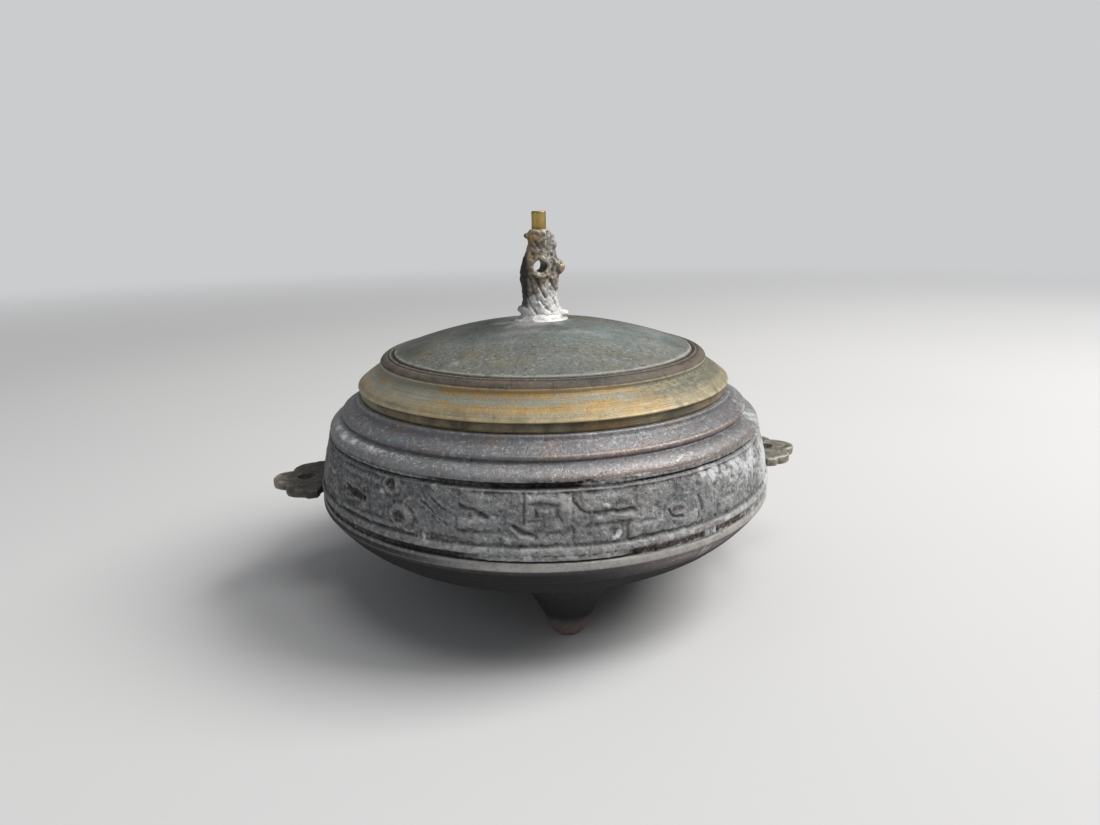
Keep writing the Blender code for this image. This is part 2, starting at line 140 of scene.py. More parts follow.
def between(value, up_from, up_to, down_from, down_to):
    """1 in the middle of a range of values, and 0 outside it."""
    return smooth_step(up_from, up_to, value) * (1 - smooth_step(down_from, down_to, value))


def spin_outline(outline, steps, closed=False):
    """A turned mesh from an outline of (radius, height) points in mm."""
    bm = bmesh.new()
    points = [bm.verts.new((r * MM, 0.0, z * MM)) for r, z in outline]
    ring = points + points[:1] if closed else points
    edges = [bm.edges.new(pair) for pair in zip(ring, ring[1:])]
    bmesh.ops.spin(
        bm,
        geom=points + edges,
        cent=(0, 0, 0),
        axis=(0, 0, 1),
        dvec=(0, 0, 0),
        angle=2 * pi,
        steps=steps,
        use_merge=True,
    )
    bmesh.ops.remove_doubles(bm, verts=bm.verts, dist=MERGE)
    loose = [edge for edge in bm.edges if edge.is_wire]
    bmesh.ops.delete(bm, geom=loose, context="EDGES")
    bmesh.ops.recalc_face_normals(bm, faces=bm.faces)
    return bm


def add_object(name, data):
    """Links a new object of a mesh, light or camera, or of a bmesh that it frees."""
    if isinstance(data, bmesh.types.BMesh):
        mesh = bpy.data.meshes.new(name)
        data.to_mesh(mesh)
        data.free()
        data = mesh
    made = bpy.data.objects.new(name, data)
    bpy.context.scene.collection.objects.link(made)
    return made


def add_piece(name, bm, material, sharp_from=None):
    return dress(add_object(name, bm), material, sharp_from)


def dress(piece, material, sharp_from=None):
    """Gives a piece its finish, and lets it ride on the frame's only body."""
    piece.data.materials.clear()
    piece.data.materials.append(material)
    piece.data.shade_smooth()
    if sharp_from:
        piece.data.set_sharp_from_angle(angle=radians(sharp_from))
    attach(piece, ROOT)
    return piece


def read_vectors(mesh, kind):
    values = np.zeros(len(mesh.vertices) * 3)
    mesh.vertices.foreach_get(kind, values)
    return values.reshape(-1, 3)


def read_points(mesh):
    return read_vectors(mesh, "co")


def read_normals(mesh):
    return read_vectors(mesh, "normal")


def write_points(mesh, points):
    mesh.vertices.foreach_set("co", points.ravel())
    mesh.update()


def push_out(mesh, points, moves):
    """Moves the points along their normals, by moves in mm."""
    write_points(mesh, points + read_normals(mesh) * (moves * MM)[:, None])


def turned_place(points):
    """Radius and height of every point, in mm."""
    return np.hypot(points[:, 0], points[:, 1]) / MM, points[:, 2] / MM


def lumps(points, size, seed):
    """Smooth noise from -1 to 1 at each point, in features of size mm."""
    shift = Vector((seed * 7.3, seed * 3.1, seed * 5.7))
    scale = 1.0 / (size * MM)
    return np.array([noise.noise(Vector(p) * scale + shift) for p in points])


def neighbour_mean(points, ends, rounds):
    """Points smoothed by their neighbours, some rounds over."""
    first, second = ends
    count = np.bincount(first, minlength=len(points)) + np.bincount(second, minlength=len(points))
    for _ in range(rounds):
        total = np.zeros_like(points)
        for axis in range(3):
            total[:, axis] = np.bincount(first, points[second, axis], len(points))
            total[:, axis] += np.bincount(second, points[first, axis], len(points))
        points = (points + total / count[:, None]) / 2
    return points


def mark_wear(mesh, reach, rounds=8):
    """Stores how far each point stands proud, as ridge, or lies low, as hollow, from 0 to 1 at reach mm."""
    ends = np.zeros(len(mesh.edges) * 2, int)
    mesh.edges.foreach_get("vertices", ends)
    points = read_points(mesh)
    away = points - neighbour_mean(points, (ends[0::2], ends[1::2]), rounds)
    proud = (away * read_normals(mesh)).sum(1) / (reach * MM)
    store(mesh, {"ridge": proud, "hollow": -proud})


def store(mesh, layers, most=1.0):
    """Stores named values on the mesh's points, from 0 to at most the given one."""
    for name, values in layers.items():
        layer = mesh.attributes.get(name) or mesh.attributes.new(name, "FLOAT", "POINT")
        layer.data.foreach_set("value", np.full(len(mesh.vertices), np.clip(values, 0, most), np.float32))


def stored(mesh, name):
    values = np.zeros(len(mesh.vertices), np.float32)
    mesh.attributes[name].data.foreach_get("value", values)
    return values


def line_distance(x, y, line):
    """Distance of every (x, y) from a broken line."""
    nearest = np.full(len(x), np.inf)
    for (x0, y0), (x1, y1) in zip(line, line[1:]):
        run = x1 - x0
        rise = y1 - y0
        share = np.clip(((x - x0) * run + (y - y0) * rise) / (run**2 + rise**2), 0, 1)
        nearest = np.minimum(nearest, np.hypot(x - x0 - share * run, y - y0 - share * rise))
    return nearest


def oval_sum(x, y, patches):
    """Soft ovals of (x, y, half width, half height, strength)."""
    total = np.zeros(len(x))
    for middle_x, middle_y, half_width, half_height, strength in patches:
        away = ((x - middle_x) / half_width) ** 2 + ((y - middle_y) / half_height) ** 2
        total = np.maximum(total, strength * np.exp(-away))
    return total


def patch_sum(angle, height, patches):
    """Soft oval patches of (degrees, height, half length, half height, strength), in mm."""
    total = np.zeros(len(angle))
    for middle, level, half_length, half_height, strength in patches:
        along = np.radians(angle - middle) * PATCH_RADIUS / half_length
        up = (height - level) / half_height
        total = np.maximum(total, strength * np.exp(-(along**2 + up**2)))
    return total


# Shader building


class Value:
    """An output of a node. Plain arithmetic with it adds Math nodes to its tree."""

    def __init__(self, nodes, socket):
        self.nodes = nodes
        self.socket = socket

    def __add__(self, other):
        return self.nodes.math("ADD", self, other)

    def __radd__(self, other):
        return self.nodes.math("ADD", other, self)

    def __sub__(self, other):
        return self.nodes.math("SUBTRACT", self, other)

    def __rsub__(self, other):
        return self.nodes.math("SUBTRACT", other, self)

    def __mul__(self, other):
        return self.nodes.math("MULTIPLY", self, other)

    def __truediv__(self, other):
        return self.nodes.math("DIVIDE", self, other)

    def __rtruediv__(self, other):
        return self.nodes.math("DIVIDE", other, self)

    def beside(self, name):
        """Another output of the same node."""
        return Value(self.nodes, self.socket.node.outputs[name])


class Nodes:
    """A short way to add and link the nodes of one tree."""

    def __init__(self, tree):
        self.tree = tree

    def set(self, socket, value):
        if isinstance(value, Value):
            self.tree.links.new(value.socket, socket)
        else:
            socket.default_value = value

    def add(self, kind, inputs, output=0, **settings):
        """Adds a node and gives back one of its outputs."""
        made = self.tree.nodes.new(kind)
        for name, value in settings.items():
            setattr(made, name, value)
        for name, value in inputs.items():
            self.set(made.inputs[name], value)
        return Value(self, made.outputs[output])

    def math(self, operation, first, second, clamp=False):
        return self.add("ShaderNodeMath", {0: first, 1: second}, operation=operation, use_clamp=clamp)

    def vector_math(self, operation, inputs, output=0):
        return self.add("ShaderNodeVectorMath", inputs, output, operation=operation)

    def noise(self, place, scale, detail, rough=0.5, warp=0.0, output=0):
        inputs = {"Vector": place, "Scale": scale, "Detail": detail, "Roughness": rough, "Distortion": warp}
        return self.add("ShaderNodeTexNoise", inputs, output)

    def mark(self, name):
        """A value stored on the mesh's points."""
        return self.add("ShaderNodeAttribute", {}, "Fac", attribute_name=name)

    def effect(self, name, **sizes):
        """The outputs of a shared effect by their names. Its sizes are in metres, and the rest are shares."""
        made = self.tree.nodes.new("ShaderNodeGroup")
        made.node_tree = effect_group(name)
        for label, value in {"Position": self.place, **sizes}.items():
            self.set(made.inputs[label], value)
        return {socket.name: Value(self, socket) for socket in made.outputs}


class Finish(Nodes):
    """The nodes of a new material, which read the object's own coordinates."""

    def __init__(self, name):
        self.material = bpy.data.materials.new(name)
        self.material.use_nodes = True
        super().__init__(self.material.node_tree)
        self.place = self.add("ShaderNodeTexCoord", {}, "Object")
        self.shader = self.tree.nodes["Principled BSDF"].inputs

    def close(self, colour, rough, metal, height, depth, gloss=0.5):
        """Feeds the shader: colour, roughness, metallic, a bump of depth metres, and an even gloss."""
        bump = self.add("ShaderNodeBump", {"Strength": 1.0, "Distance": depth, "Height": height})
        links = {"Base Color": colour, "Roughness": rough, "Metallic": metal, "Normal": bump}
        for name, value in links.items():
            self.set(self.shader[name], value)
        self.shader["Specular IOR Level"].default_value = gloss
        return self.material


def spread(value, low, high, to_low=0.0, to_high=1.0):
    """Maps a value from one range to another, smoothly and clamped."""
    inputs = {"Value": value, "From Min": low, "From Max": high, "To Min": to_low, "To Max": to_high}
    return value.nodes.add("ShaderNodeMapRange", inputs, interpolation_type="SMOOTHSTEP")


def blend(share, first, second):
    """A colour that goes from first to second with the share."""
    tones = [tone if isinstance(tone, Value) else (*tone, 1.0) for tone in (first, second)]
    return share.nodes.add("ShaderNodeMix", {0: share, 6: tones[0], 7: tones[1]}, 2, data_type="RGBA")


# Effects that several finishes share


def cloud_effect(nodes, size, contrast, warp):
    """Soft clouds of a patina, with a finer layer over them."""
    scale = 1.0 / size
    broad = nodes.noise(nodes.place, scale, 5.0, 0.58, warp)
    fine = nodes.noise(nodes.place, scale * 5.3, 4.0, 0.6)
    low = 0.5 - contrast
    high = 0.5 + contrast
    return {"Mask": spread(broad, low, high), "Fine": spread(fine, low, high)}


def streak_effect(nodes, length, thickness, contrast):
    """Bands that run round a turned piece, as the turning and the rubbing left them."""
    flat = nodes.vector_math("MULTIPLY", {0: nodes.place, 1: (1.0, 1.0, 0.0)})
    radius = nodes.vector_math("LENGTH", {0: flat}, "Value")
    outward = nodes.vector_math("NORMALIZE", {0: flat})
    ring = nodes.vector_math("SCALE", {0: outward, "Scale": 1.0 / length})
    height = nodes.add("ShaderNodeSeparateXYZ", {0: nodes.place}, "Z")
    lift = nodes.add("ShaderNodeCombineXYZ", {"Z": (height - radius) / thickness})
    place = nodes.vector_math("ADD", {0: ring, 1: lift})
    return {"Mask": spread(nodes.noise(place, 1.0, 4.0, 0.6, 0.4), 0.5 - contrast, 0.5 + contrast)}


def speck_effect(nodes, size, amount, grain):
    """Small separate grains of mineral or small pits, spread at random."""
    scale = 1.0 / size
    bent = nodes.noise(nodes.place, scale, 2.0, output="Color")
    push = nodes.vector_math("SCALE", {0: bent, "Scale": size * 0.9})
    place = nodes.vector_math("ADD", {0: nodes.place, 1: push})
    away = nodes.add("ShaderNodeTexVoronoi", {"Vector": place, "Scale": scale}, "Distance")
    chosen = nodes.add("ShaderNodeSeparateColor", {0: away.beside("Color")})
    reach = grain * spread(chosen, 1.0 - amount, 1.0)
    return {"Mask": spread(reach - away, 0.0, 0.12)}


def grain_effect(nodes, size, pits):
    """Height of a sand-cast skin: fine grain on soft lumps, cut by small pits."""
    scale = 1.0 / size
    soft = nodes.noise(nodes.place, scale * 0.35, 3.0)
    fine = nodes.noise(nodes.place, scale, 5.0, 0.68)
    away = nodes.add("ShaderNodeTexVoronoi", {"Vector": nodes.place, "Scale": scale * 0.7}, "Distance")
    pit = spread(away, 0.28, 0.05) * pits
    return {"Height": soft * 0.6 + fine * 0.9 - pit}


def sand_effect(nodes, size, amount):
    """Separate light and dark grains of a sandy, mineral-speckled surface."""
    scale = 1.0 / size
    light = nodes.noise(nodes.place, scale, 6.0, 0.78)
    shifted = nodes.vector_math("ADD", {0: nodes.place, 1: (0.3, 0.7, 0.1)})
    dark = nodes.noise(shifted, scale * 0.8, 6.0, 0.78)
    reach = amount * 0.16
    return {"Light": spread(light, 0.6 - reach, 0.67), "Dark": spread(dark, 0.4 + reach, 0.34)}


EFFECTS = {
    "clouds": ("cloudy_patina", cloud_effect, {"Size": 0.01, "Contrast": 0.15, "Warp": 0.6}),
    "streaks": ("turned_streaks", streak_effect, {"Length": 0.35, "Thickness": 0.001, "Contrast": 0.12}),
    "specks": ("mineral_specks", speck_effect, {"Size": 0.0012, "Amount": 0.4, "Grain": 0.3}),
    "grain": ("cast_skin", grain_effect, {"Size": 0.0012, "Pits": 0.3}),
    "sand": ("sandy_grains", sand_effect, {"Size": 0.0008, "Amount": 0.5}),
}


def effect_group(name):
    """The node group of an effect, built when it is first wanted."""
    title, effect, sizes = EFFECTS[name]
    if title in bpy.data.node_groups:
        return bpy.data.node_groups[title]
    tree = bpy.data.node_groups.new(title, "ShaderNodeTree")
    tree.interface.new_socket("Position", in_out="INPUT", socket_type="NodeSocketVector")
    for label, value in sizes.items():
        socket = tree.interface.new_socket(label, in_out="INPUT", socket_type="NodeSocketFloat")
        socket.default_value = value
    nodes = Nodes(tree)
    given = tree.nodes.new("NodeGroupInput").outputs
    nodes.place = Value(nodes, given["Position"])
    made = effect(nodes, *[Value(nodes, given[label]) for label in sizes])
    for label in made:
        tree.interface.new_socket(label, in_out="OUTPUT", socket_type="NodeSocketFloat")
    out = tree.nodes.new("NodeGroupOutput").inputs
    for label, value in made.items():
        nodes.set(out[label], value)
    return tree


# Finishes


def bowl_finish(colours):
    """Dark purple-grey patina with pale deposits and copper showing where it is rubbed; soot and painted
    shade below, painted shade in the recesses and on the left, painted light on the flange and a painted
    highlight on the left of the roll.
    """
    nodes = Finish("bowl_patina")
    mark = nodes.mark
    clouds = nodes.effect("clouds", Size=0.012, Contrast=0.22, Warp=0.8)
    blots = nodes.effect("clouds", Size=0.006, Contrast=0.2, Warp=0.9)
    streaks = nodes.effect("streaks", Length=0.5, Thickness=0.0016, Contrast=0.16)
    sand = nodes.effect("sand", Size=0.0012, Amount=0.6)
    pale_specks = nodes.effect("specks", Size=0.0007, Amount=0.55, Grain=0.34)
    pits = nodes.effect("specks", Size=0.0013, Amount=0.1, Grain=0.26)
    grain = nodes.effect("grain", Size=0.0007, Pits=0.35)
    turned = mark("turned")
    cast = 1.0 - turned
    colour = blend(clouds["Mask"], colours.bowl_dark, colours.bowl_light)
    sandy = blend(clouds["Mask"], colours.cast_dark, colours.cast_light)
    colour = blend(cast * 0.85, colour, sandy)
    violet = streaks["Mask"] * (turned * 0.45)
    colour = blend(violet, colour, colours.bowl_violet)
    # Blue-grey blots, with painted bluish light on the bowl's left side
    colour = blend(blots["Mask"] * mark("cool"), colour, colours.bowl_blue)
    brown = (1.0 - blots["Mask"]) * spread(clouds["Fine"], 0.2, 1.0, 0.1, 0.45)
    colour = blend(brown, colour, colours.bowl_brown)
    copper = mark("copper") * spread(clouds["Fine"], 0.0, 0.5, 0.55, 1.0)
    colour = blend(copper, colour, colours.copper)
    colour = blend(mark("rust"), colour, colours.rust)
    # Painted shade, with some darker tone at random, in the bowl's shade colour
    colour = blend(mark("dim"), colour, colours.bowl_shade)
    grained = cast * 0.12 + 0.52
    colour = blend(sand["Dark"] * grained, colour, colours.bowl_shade)
    lit = grained * spread(mark("dim"), 0.0, 1.0, 1.0, 0.5)
    colour = blend(sand["Light"] * lit, colour, colours.bowl_grain)
    # Pale crust, with a painted highlight on the left of the roll
    crust = mark("crust") + sand["Light"] * 0.3
    crusted = spread(crust + clouds["Fine"] * 0.4, 0.5, 1.1)
    colour = blend(crusted * 0.9, colour, colours.crust)
    speckled = pale_specks["Mask"] * mark("specks")
    colour = blend(speckled, colour, colours.verdigris)
    worn = mark("ridge") * spread(sand["Light"], 0.0, 0.8, 0.3, 0.8)
    worn = worn * spread(turned, 0.0, 1.0, 1.0, 0.4)
    # Cream deposit on the flange, with painted light towards its front and right
    cream = mark("cream") * spread(clouds["Fine"], 0.0, 0.7, 0.55, 1.0)
    colour = blend(nodes.math("MAXIMUM", worn, cream), colour, colours.bowl_worn)
    dirty = mark("hollow") * spread(clouds["Fine"], 0.0, 1.0, 0.75, 0.4)
    dirty = dirty * spread(turned, 0.0, 1.0, 1.0, 0.45)
    dirty = nodes.math("ADD", dirty, pits["Mask"] * 0.7, clamp=True)
    colour = blend(dirty, colour, colours.grime)
    soot = mark("soot")
    # Soot, and painted shade on the underside, in the recesses and on the left
    colour = blend(soot, colour, colours.soot)
    matt = cast * 0.2 + clouds["Mask"] * 0.1
    rough = nodes.math("ADD", 0.4, matt + soot * 0.5, clamp=True)
    pale = nodes.math("ADD", crusted, speckled, clamp=True)
    bare = 1.0 - nodes.math("ADD", pale, soot, clamp=True)
    metal = bare * 0.45
    height = grain["Height"] - pits["Mask"] * 0.9
    height = height + speckled * 0.4
    height = height * spread(turned, 0.0, 1.0, 1.0, 0.5)
    return nodes.close(colour, rough, metal, height, 0.00042, 0.3)


def lid_finish(colours):
    """Grey-green dome with painted shade towards its top, a dark step with a thin worn fillet, and an
    olive-gold brim rubbed in streaks, with painted shade on its right side.
    """
    nodes = Finish("lid_patina")
    mark = nodes.mark
    clouds = nodes.effect("clouds", Size=0.018, Contrast=0.34, Warp=0.6)
    flows = nodes.effect("streaks", Length=0.5, Thickness=0.0065, Contrast=0.2)
    blots = nodes.effect("clouds", Size=0.007, Contrast=0.16, Warp=0.8)
    rings = nodes.effect("streaks", Length=0.34, Thickness=0.0028, Contrast=0.1)
    fine_rings = nodes.effect("streaks", Length=0.7, Thickness=0.0006, Contrast=0.16)
    sand = nodes.effect("sand", Size=0.0011, Amount=0.6)
    dots = nodes.effect("specks", Size=0.0011, Amount=0.6, Grain=0.42)
    grain = nodes.effect("grain", Size=0.0008, Pits=0.25)
    gold = mark("gold")
    step = mark("step")
    dome = blend(clouds["Mask"], colours.dome_dark, colours.dome_light)
    teal = spread(flows["Mask"], 0.0, 1.0, 0.35, 1.0) * mark("teal")
    dome = blend(teal, dome, colours.dome_teal)
    olive = spread(blots["Mask"], 0.0, 1.0, 0.2, 1.0) * mark("ochre")
    dome = blend(olive, dome, colours.dome_olive)
    dome = blend(sand["Dark"] * 0.75, dome, colours.dome_shade)
    dome = blend(sand["Light"] * 0.6, dome, colours.dome_pale)
    # Painted shade on the dome, with some darker tone at random
    dome = blend(mark("dim"), dome, colours.dome_shade)
    veil = mark("veil") * spread(clouds["Fine"], 0.2, 0.9, 0.15, 0.55)
    dome = blend(veil, dome, colours.dome_pale)
    greenish = mark("pale") * 0.75 + rings["Mask"] * 0.45
    greenish = spread(greenish + blots["Mask"] * 0.3, 0.42, 0.86)
    brim = blend(greenish, colours.brim_gold, colours.brim_green)
    chalky = blots["Mask"] * mark("chalk") * 0.75
    brim = blend(chalky, brim, colours.brim_chalk)
    brim = blend(fine_rings["Mask"] * 0.45, brim, colours.brim_brown)
    brim = blend(spread(clouds["Mask"], 0.55, 0.95) * 0.55, brim, colours.brim_grey)
    # Dark olive low on the brim, and painted shade on the brim's right side
    olive_rim = mark("olive") * spread(blots["Fine"], 0.0, 1.0, 0.5, 1.0)
    brim = blend(olive_rim, brim, colours.brim_olive)
    brim = blend(sand["Dark"] * 0.4, brim, colours.rim_olive)
    brim = blend(sand["Light"] * 0.25, brim, colours.brim_worn)
    colour = blend(gold, dome, brim)
    band = blend(rings["Mask"], colours.step_brown, colours.step_dark)
    band = blend(blots["Mask"] * 0.35, band, colours.brim_olive)
    band = blend(sand["Light"] * 0.35, band, colours.brim_grey)
    colour = blend(step, colour, band)
    rim = blend(blots["Mask"], colours.rim_olive, colours.rim_dark)
    rim = blend(spread(clouds["Mask"], 0.6, 1.0) * 0.6, rim, colours.dome_teal)
    rim = blend(spread(rings["Mask"], 0.7, 1.0) * 0.5, rim, colours.brim_brown)
    colour = blend(mark("rim"), colour, rim)
    dotted = mark("fillet") * spread(dots["Mask"], 0.0, 0.7, 0.25, 1.0)
    colour = blend(dotted, colour, colours.dome_worn)
    colour = blend(mark("flux"), colour, colours.solder_grey)
    worn = mark("ridge") * spread(clouds["Fine"], 0.0, 0.8, 0.25, 0.8)
    covered = nodes.math("MAXIMUM", step, mark("rim"))
    worn = worn * spread(covered, 0.0, 1.0, 1.0, 0.12)
    colour = blend(worn, colour, blend(gold, colours.dome_worn, colours.brim_worn))
    colour = blend(mark("hollow") * 0.8, colour, colours.grime)
    colour = blend(mark("soot"), colour, colours.soot)
    rough = spread(clouds["Mask"] + (1.0 - gold), 0.0, 2.0, 0.44, 0.66)
    metal = spread(gold, 0.0, 1.0, 0.06, 0.32)
    height = fine_rings["Mask"] * (gold * 0.3)
    return nodes.close(colour, rough, metal, grain["Height"] + height, 0.00022, 0.3)


def knop_finish(colours):
    """Worn brown bronze with dark hollows, yellow metal on the high points, pale solder at the foot and
    painted shade on its left side.
    """
    nodes = Finish("knop_patina")
    mark = nodes.mark
    clouds = nodes.effect("clouds", Size=0.004, Contrast=0.18, Warp=1.0)
    sand = nodes.effect("sand", Size=0.0011, Amount=0.6)
    grain = nodes.effect("grain", Size=0.0009, Pits=0.5)
    colour = blend(clouds["Mask"], colours.knop_dark, colours.knop_grey)
    colour = blend(mark("brown") * 0.85, colour, colours.knop_brown)
    colour = blend(mark("cool") * 0.7, colour, colours.knop_cool)
    golden = mark("gold") * spread(clouds["Fine"], 0.0, 0.6, 0.45, 1.0)
    colour = blend(golden, colour, colours.knop_gold)
    colour = blend(sand["Dark"] * 0.5, colour, colours.knop_dark)
    colour = blend(sand["Light"] * 0.4, colour, colours.knop_worn)
    soldered = spread(mark("solder") + clouds["Fine"] * 0.4, 0.45, 1.0)
    white = blend(clouds["Mask"] * 0.45, colours.solder, colours.solder_grey)
    colour = blend(soldered * 0.92, colour, white)
    worn = mark("ridge") * spread(clouds["Fine"], 0.0, 0.7, 0.45, 0.9)
    colour = blend(worn, colour, blend(soldered, colours.knop_worn, colours.solder))
    colour = blend(mark("hollow") * 0.8, colour, colours.grime)
    # Painted shade on the knop's left side
    colour = blend(mark("shade"), colour, colours.grime)
    rough = spread(clouds["Fine"] + soldered, 0.0, 1.6, 0.44, 0.64)
    metal = spread(soldered, 0.0, 1.0, 0.35, 0.1)
    return nodes.close(colour, rough, metal, grain["Height"], 0.00028)


def solder_finish(colours):
    """Dull pale solder with a grey oxide in its folds."""
    nodes = Finish("solder")
    mark = nodes.mark
    clouds = nodes.effect("clouds", Size=0.003, Contrast=0.15, Warp=0.8)
    grain = nodes.effect("grain", Size=0.001, Pits=0.4)
    colour = blend(clouds["Mask"] * 0.5, colours.solder, colours.solder_grey)
    colour = blend(mark("hollow"), colour, colours.grime)
    rough = spread(clouds["Fine"], 0.0, 1.0, 0.42, 0.62)
    metal = spread(clouds["Mask"], 0.0, 1.0, 0.2, 0.45)
    return nodes.close(colour, rough, metal, grain["Height"], 0.0002)


def lug_finish(colours):
    """Grey-tan bronze, darker in its scrolls and paler on its worn nose, with darker spots and painted shade
    on the left lug.
    """
    nodes = Finish("lug_patina")
    mark = nodes.mark
    clouds = nodes.effect("clouds", Size=0.006, Contrast=0.2, Warp=0.9)
    sand = nodes.effect("sand", Size=0.0011, Amount=0.6)
    specks = nodes.effect("specks", Size=0.0011, Amount=0.4, Grain=0.34)
    grain = nodes.effect("grain", Size=0.001, Pits=0.4)
    height = nodes.add("ShaderNodeSeparateXYZ", {0: nodes.place}, "Z")
    above = spread(height, (LUG_HIGH - 1.2) * MM, (LUG_HIGH - 0.1) * MM)
    colour = blend(clouds["Mask"], colours.lug_dark, colours.lug_light)
    tan = 1.0 - above * 0.75
    tan = tan * spread(clouds["Fine"], 0.0, 1.0, 0.45, 0.85)
    colour = blend(tan, colour, colours.lug_tan)
    colour = blend(sand["Dark"] * 0.5, colour, colours.lug_dark)
    colour = blend(specks["Mask"] * 0.5, colour, colours.verdigris)
    worn = mark("ridge") * spread(clouds["Fine"], 0.0, 0.8, 0.35, 0.8)
    colour = blend(worn, colour, colours.lug_worn)
    colour = blend(mark("hollow") * 0.7, colour, colours.grime)
    # Darker spots, and painted shade on the left lug
    colour = blend(mark("dim"), colour, colours.grime)
    rough = spread(clouds["Fine"], 0.0, 1.0, 0.48, 0.62)
    metal = spread(clouds["Mask"], 0.0, 1.0, 0.4, 0.25)
    return nodes.close(colour, rough, metal, grain["Height"], 0.00026)


def pin_finish(colours):
    """Bare yellow brass, with an olive tarnish towards its ends and fine scratches."""
    nodes = Finish("pin_brass")
    mark = nodes.mark
    clouds = nodes.effect("clouds", Size=0.003, Contrast=0.22, Warp=0.6)
    grain = nodes.effect("grain", Size=0.0012, Pits=0.2)
    tarnish = mark("tarnish") * spread(clouds["Fine"], 0.0, 0.6, 0.5, 1.0)
    colour = blend(clouds["Mask"] * 0.5, colours.brass, colours.brass_deep)
    colour = blend(tarnish, colour, colours.brass_tarnish)
    rough = spread(tarnish + clouds["Fine"] * 0.4, 0.0, 1.4, 0.3, 0.46)
    metal = spread(tarnish, 0.0, 1.0, 1.0, 0.7)
    return nodes.close(colour, rough, metal, grain["Height"], 0.00004)


def floor_finish(colours):
    """A plain pale table top that runs out evenly into the pale room."""
    nodes = Finish("pale_floor")
    shade = nodes.noise(nodes.place, 2.0, 3.0)
    away = nodes.vector_math("LENGTH", {0: nodes.place}, "Value")
    looks = {
        "Base Color": blend(spread(shade, 0.3, 0.7), colours.floor_light, colours.floor_shade),
        "Roughness": 0.8,
        "Specular IOR Level": 0.2,
        "Alpha": spread(away, 0.45, 1.5, 1.0, 0.0),
    }
    for name, value in looks.items():
        nodes.set(nodes.shader[name], value)
    return nodes.material


# Bowl


def belly_height(radius):
    """Height of the bowl's underside at a radius."""
    share = (radius - BELLY_FLAT_RADIUS) / (DRAWN_RADIUS - BELLY_FLAT_RADIUS)
    return BELLY_BOTTOM + (FLANGE_LOW - BELLY_BOTTOM) * max(share, 0.0) ** BELLY_POWER


def belly_inside(radius):
    """The point one wall in from the underside, square to it."""
    reach = 0.1
    slope = (belly_height(radius + reach) - belly_height(radius - reach)) / (2 * reach)
    length = np.hypot(1.0, slope)
    return (radius - WALL * slope / length, belly_height(radius) + WALL / length)


def field_radius(height):
    """Radius of the frieze's ground, which bulges a little between its two edges."""
    share = (height - FIELD_LOW) / (FIELD_TOP - FIELD_LOW)
    return 74.7 - 2.9 * share + 0.45 * sin(pi * min(max(share, 0.0), 1.0))


def bowl_outside():
    """Down the outside, from the collar to the middle of the underside."""
    crease = [(71.6, 0.0), (70.7, 0.0), (70.45, 0.22), (70.15, 0.22), (69.8, 0.0)]
    belly = [75.0 - 31.0 * (i / 15) ** 1.15 for i in range(1, 16)]
    belly = [(r, 0.0) for r in belly if not 69.4 < r < 72.0] + crease
    belly = sorted(belly, reverse=True) + [(34.0, 0.0), (20.0, 0.0), (8.0, 0.0), (0.0, 0.0)]
    field = [FIELD_TOP - (FIELD_TOP - FIELD_LOW) * i / 33 for i in range(34)]
    return [
        (COLLAR_RADIUS - 0.35, SEAT), (COLLAR_RADIUS - 0.1, SEAT - 0.1),
        (COLLAR_RADIUS, SEAT - 0.35), (COLLAR_RADIUS + 0.05, SEAT - 0.8),
        (COLLAR_RADIUS + 0.2, SEAT - 1.25), (62.5, 66.1), (63.1, 65.7), (63.9, 65.3), (64.7, 64.85),
        (65.4, 64.45), (65.9, 64.15),
        *arc(66.0, 63.0, 0.98, 78, -46, 7),
        (66.56, 62.1), (66.5, 61.95), (66.6, 61.8), (66.85, 61.65), (67.3, 61.5), (68.1, 61.25),
        (69.0, 60.85), (69.7, 60.4), (70.3, 59.9), (70.7, 59.4), (70.95, 59.0), (71.1, 58.6),
        (71.12, 58.3), (71.0, 58.05), (70.7, 57.85), (70.35, 57.65), (70.15, 57.35), (70.08, 57.0),
        (70.1, 56.75), (70.15, 56.5), (70.3, 56.3), (70.7, 56.12), (71.3, 55.98),
        *[(field_radius(height), height) for height in field],
        (74.95, 41.4), (75.12, 41.0), (75.2, 40.6), (75.2, 40.1), (75.1, 39.7), (74.75, 39.35),
        (74.1, 39.05), (73.7, 38.7), (73.6, 38.3), (73.65, 37.9), (73.9, 37.6), (74.3, 37.38),
        (74.7, 37.15), (74.98, 36.8), (75.1, 36.4), (75.15, 35.9), (75.15, 35.4),
        (75.08, FLANGE_LOW), (74.9, FLANGE_LOW - 0.3),
        *[(r, belly_height(r) + lift) for r, lift in belly],
    ]


def bowl_inside():
    """Up the inside, from the middle of the hollow to the mouth."""
    belly = [BELLY_FLAT_RADIUS, 50.0, 56.0, 61.0, 65.0, 68.5, 71.2, 73.2]
    return [
        (0.0, BELLY_BOTTOM + WALL), (15.0, BELLY_BOTTOM + WALL), (30.0, BELLY_BOTTOM + WALL),
        *[belly_inside(r) for r in belly],
        (70.4, 37.5), (70.4, FIELD_LOW), (68.8, 48.0), (66.6, FIELD_TOP), (62.7, 60.0),
        (MOUTH_RADIUS + 0.4, 63.4), (MOUTH_RADIUS, 64.2), (MOUTH_RADIUS, SEAT - 0.4),
        (MOUTH_RADIUS + 0.35, SEAT), (COLLAR_RADIUS - 0.35, SEAT),
    ]


def round_way(angle):
    """Length in mm along the frieze of an angle in degrees."""
    return np.radians(angle) * FRIEZE_RADIUS


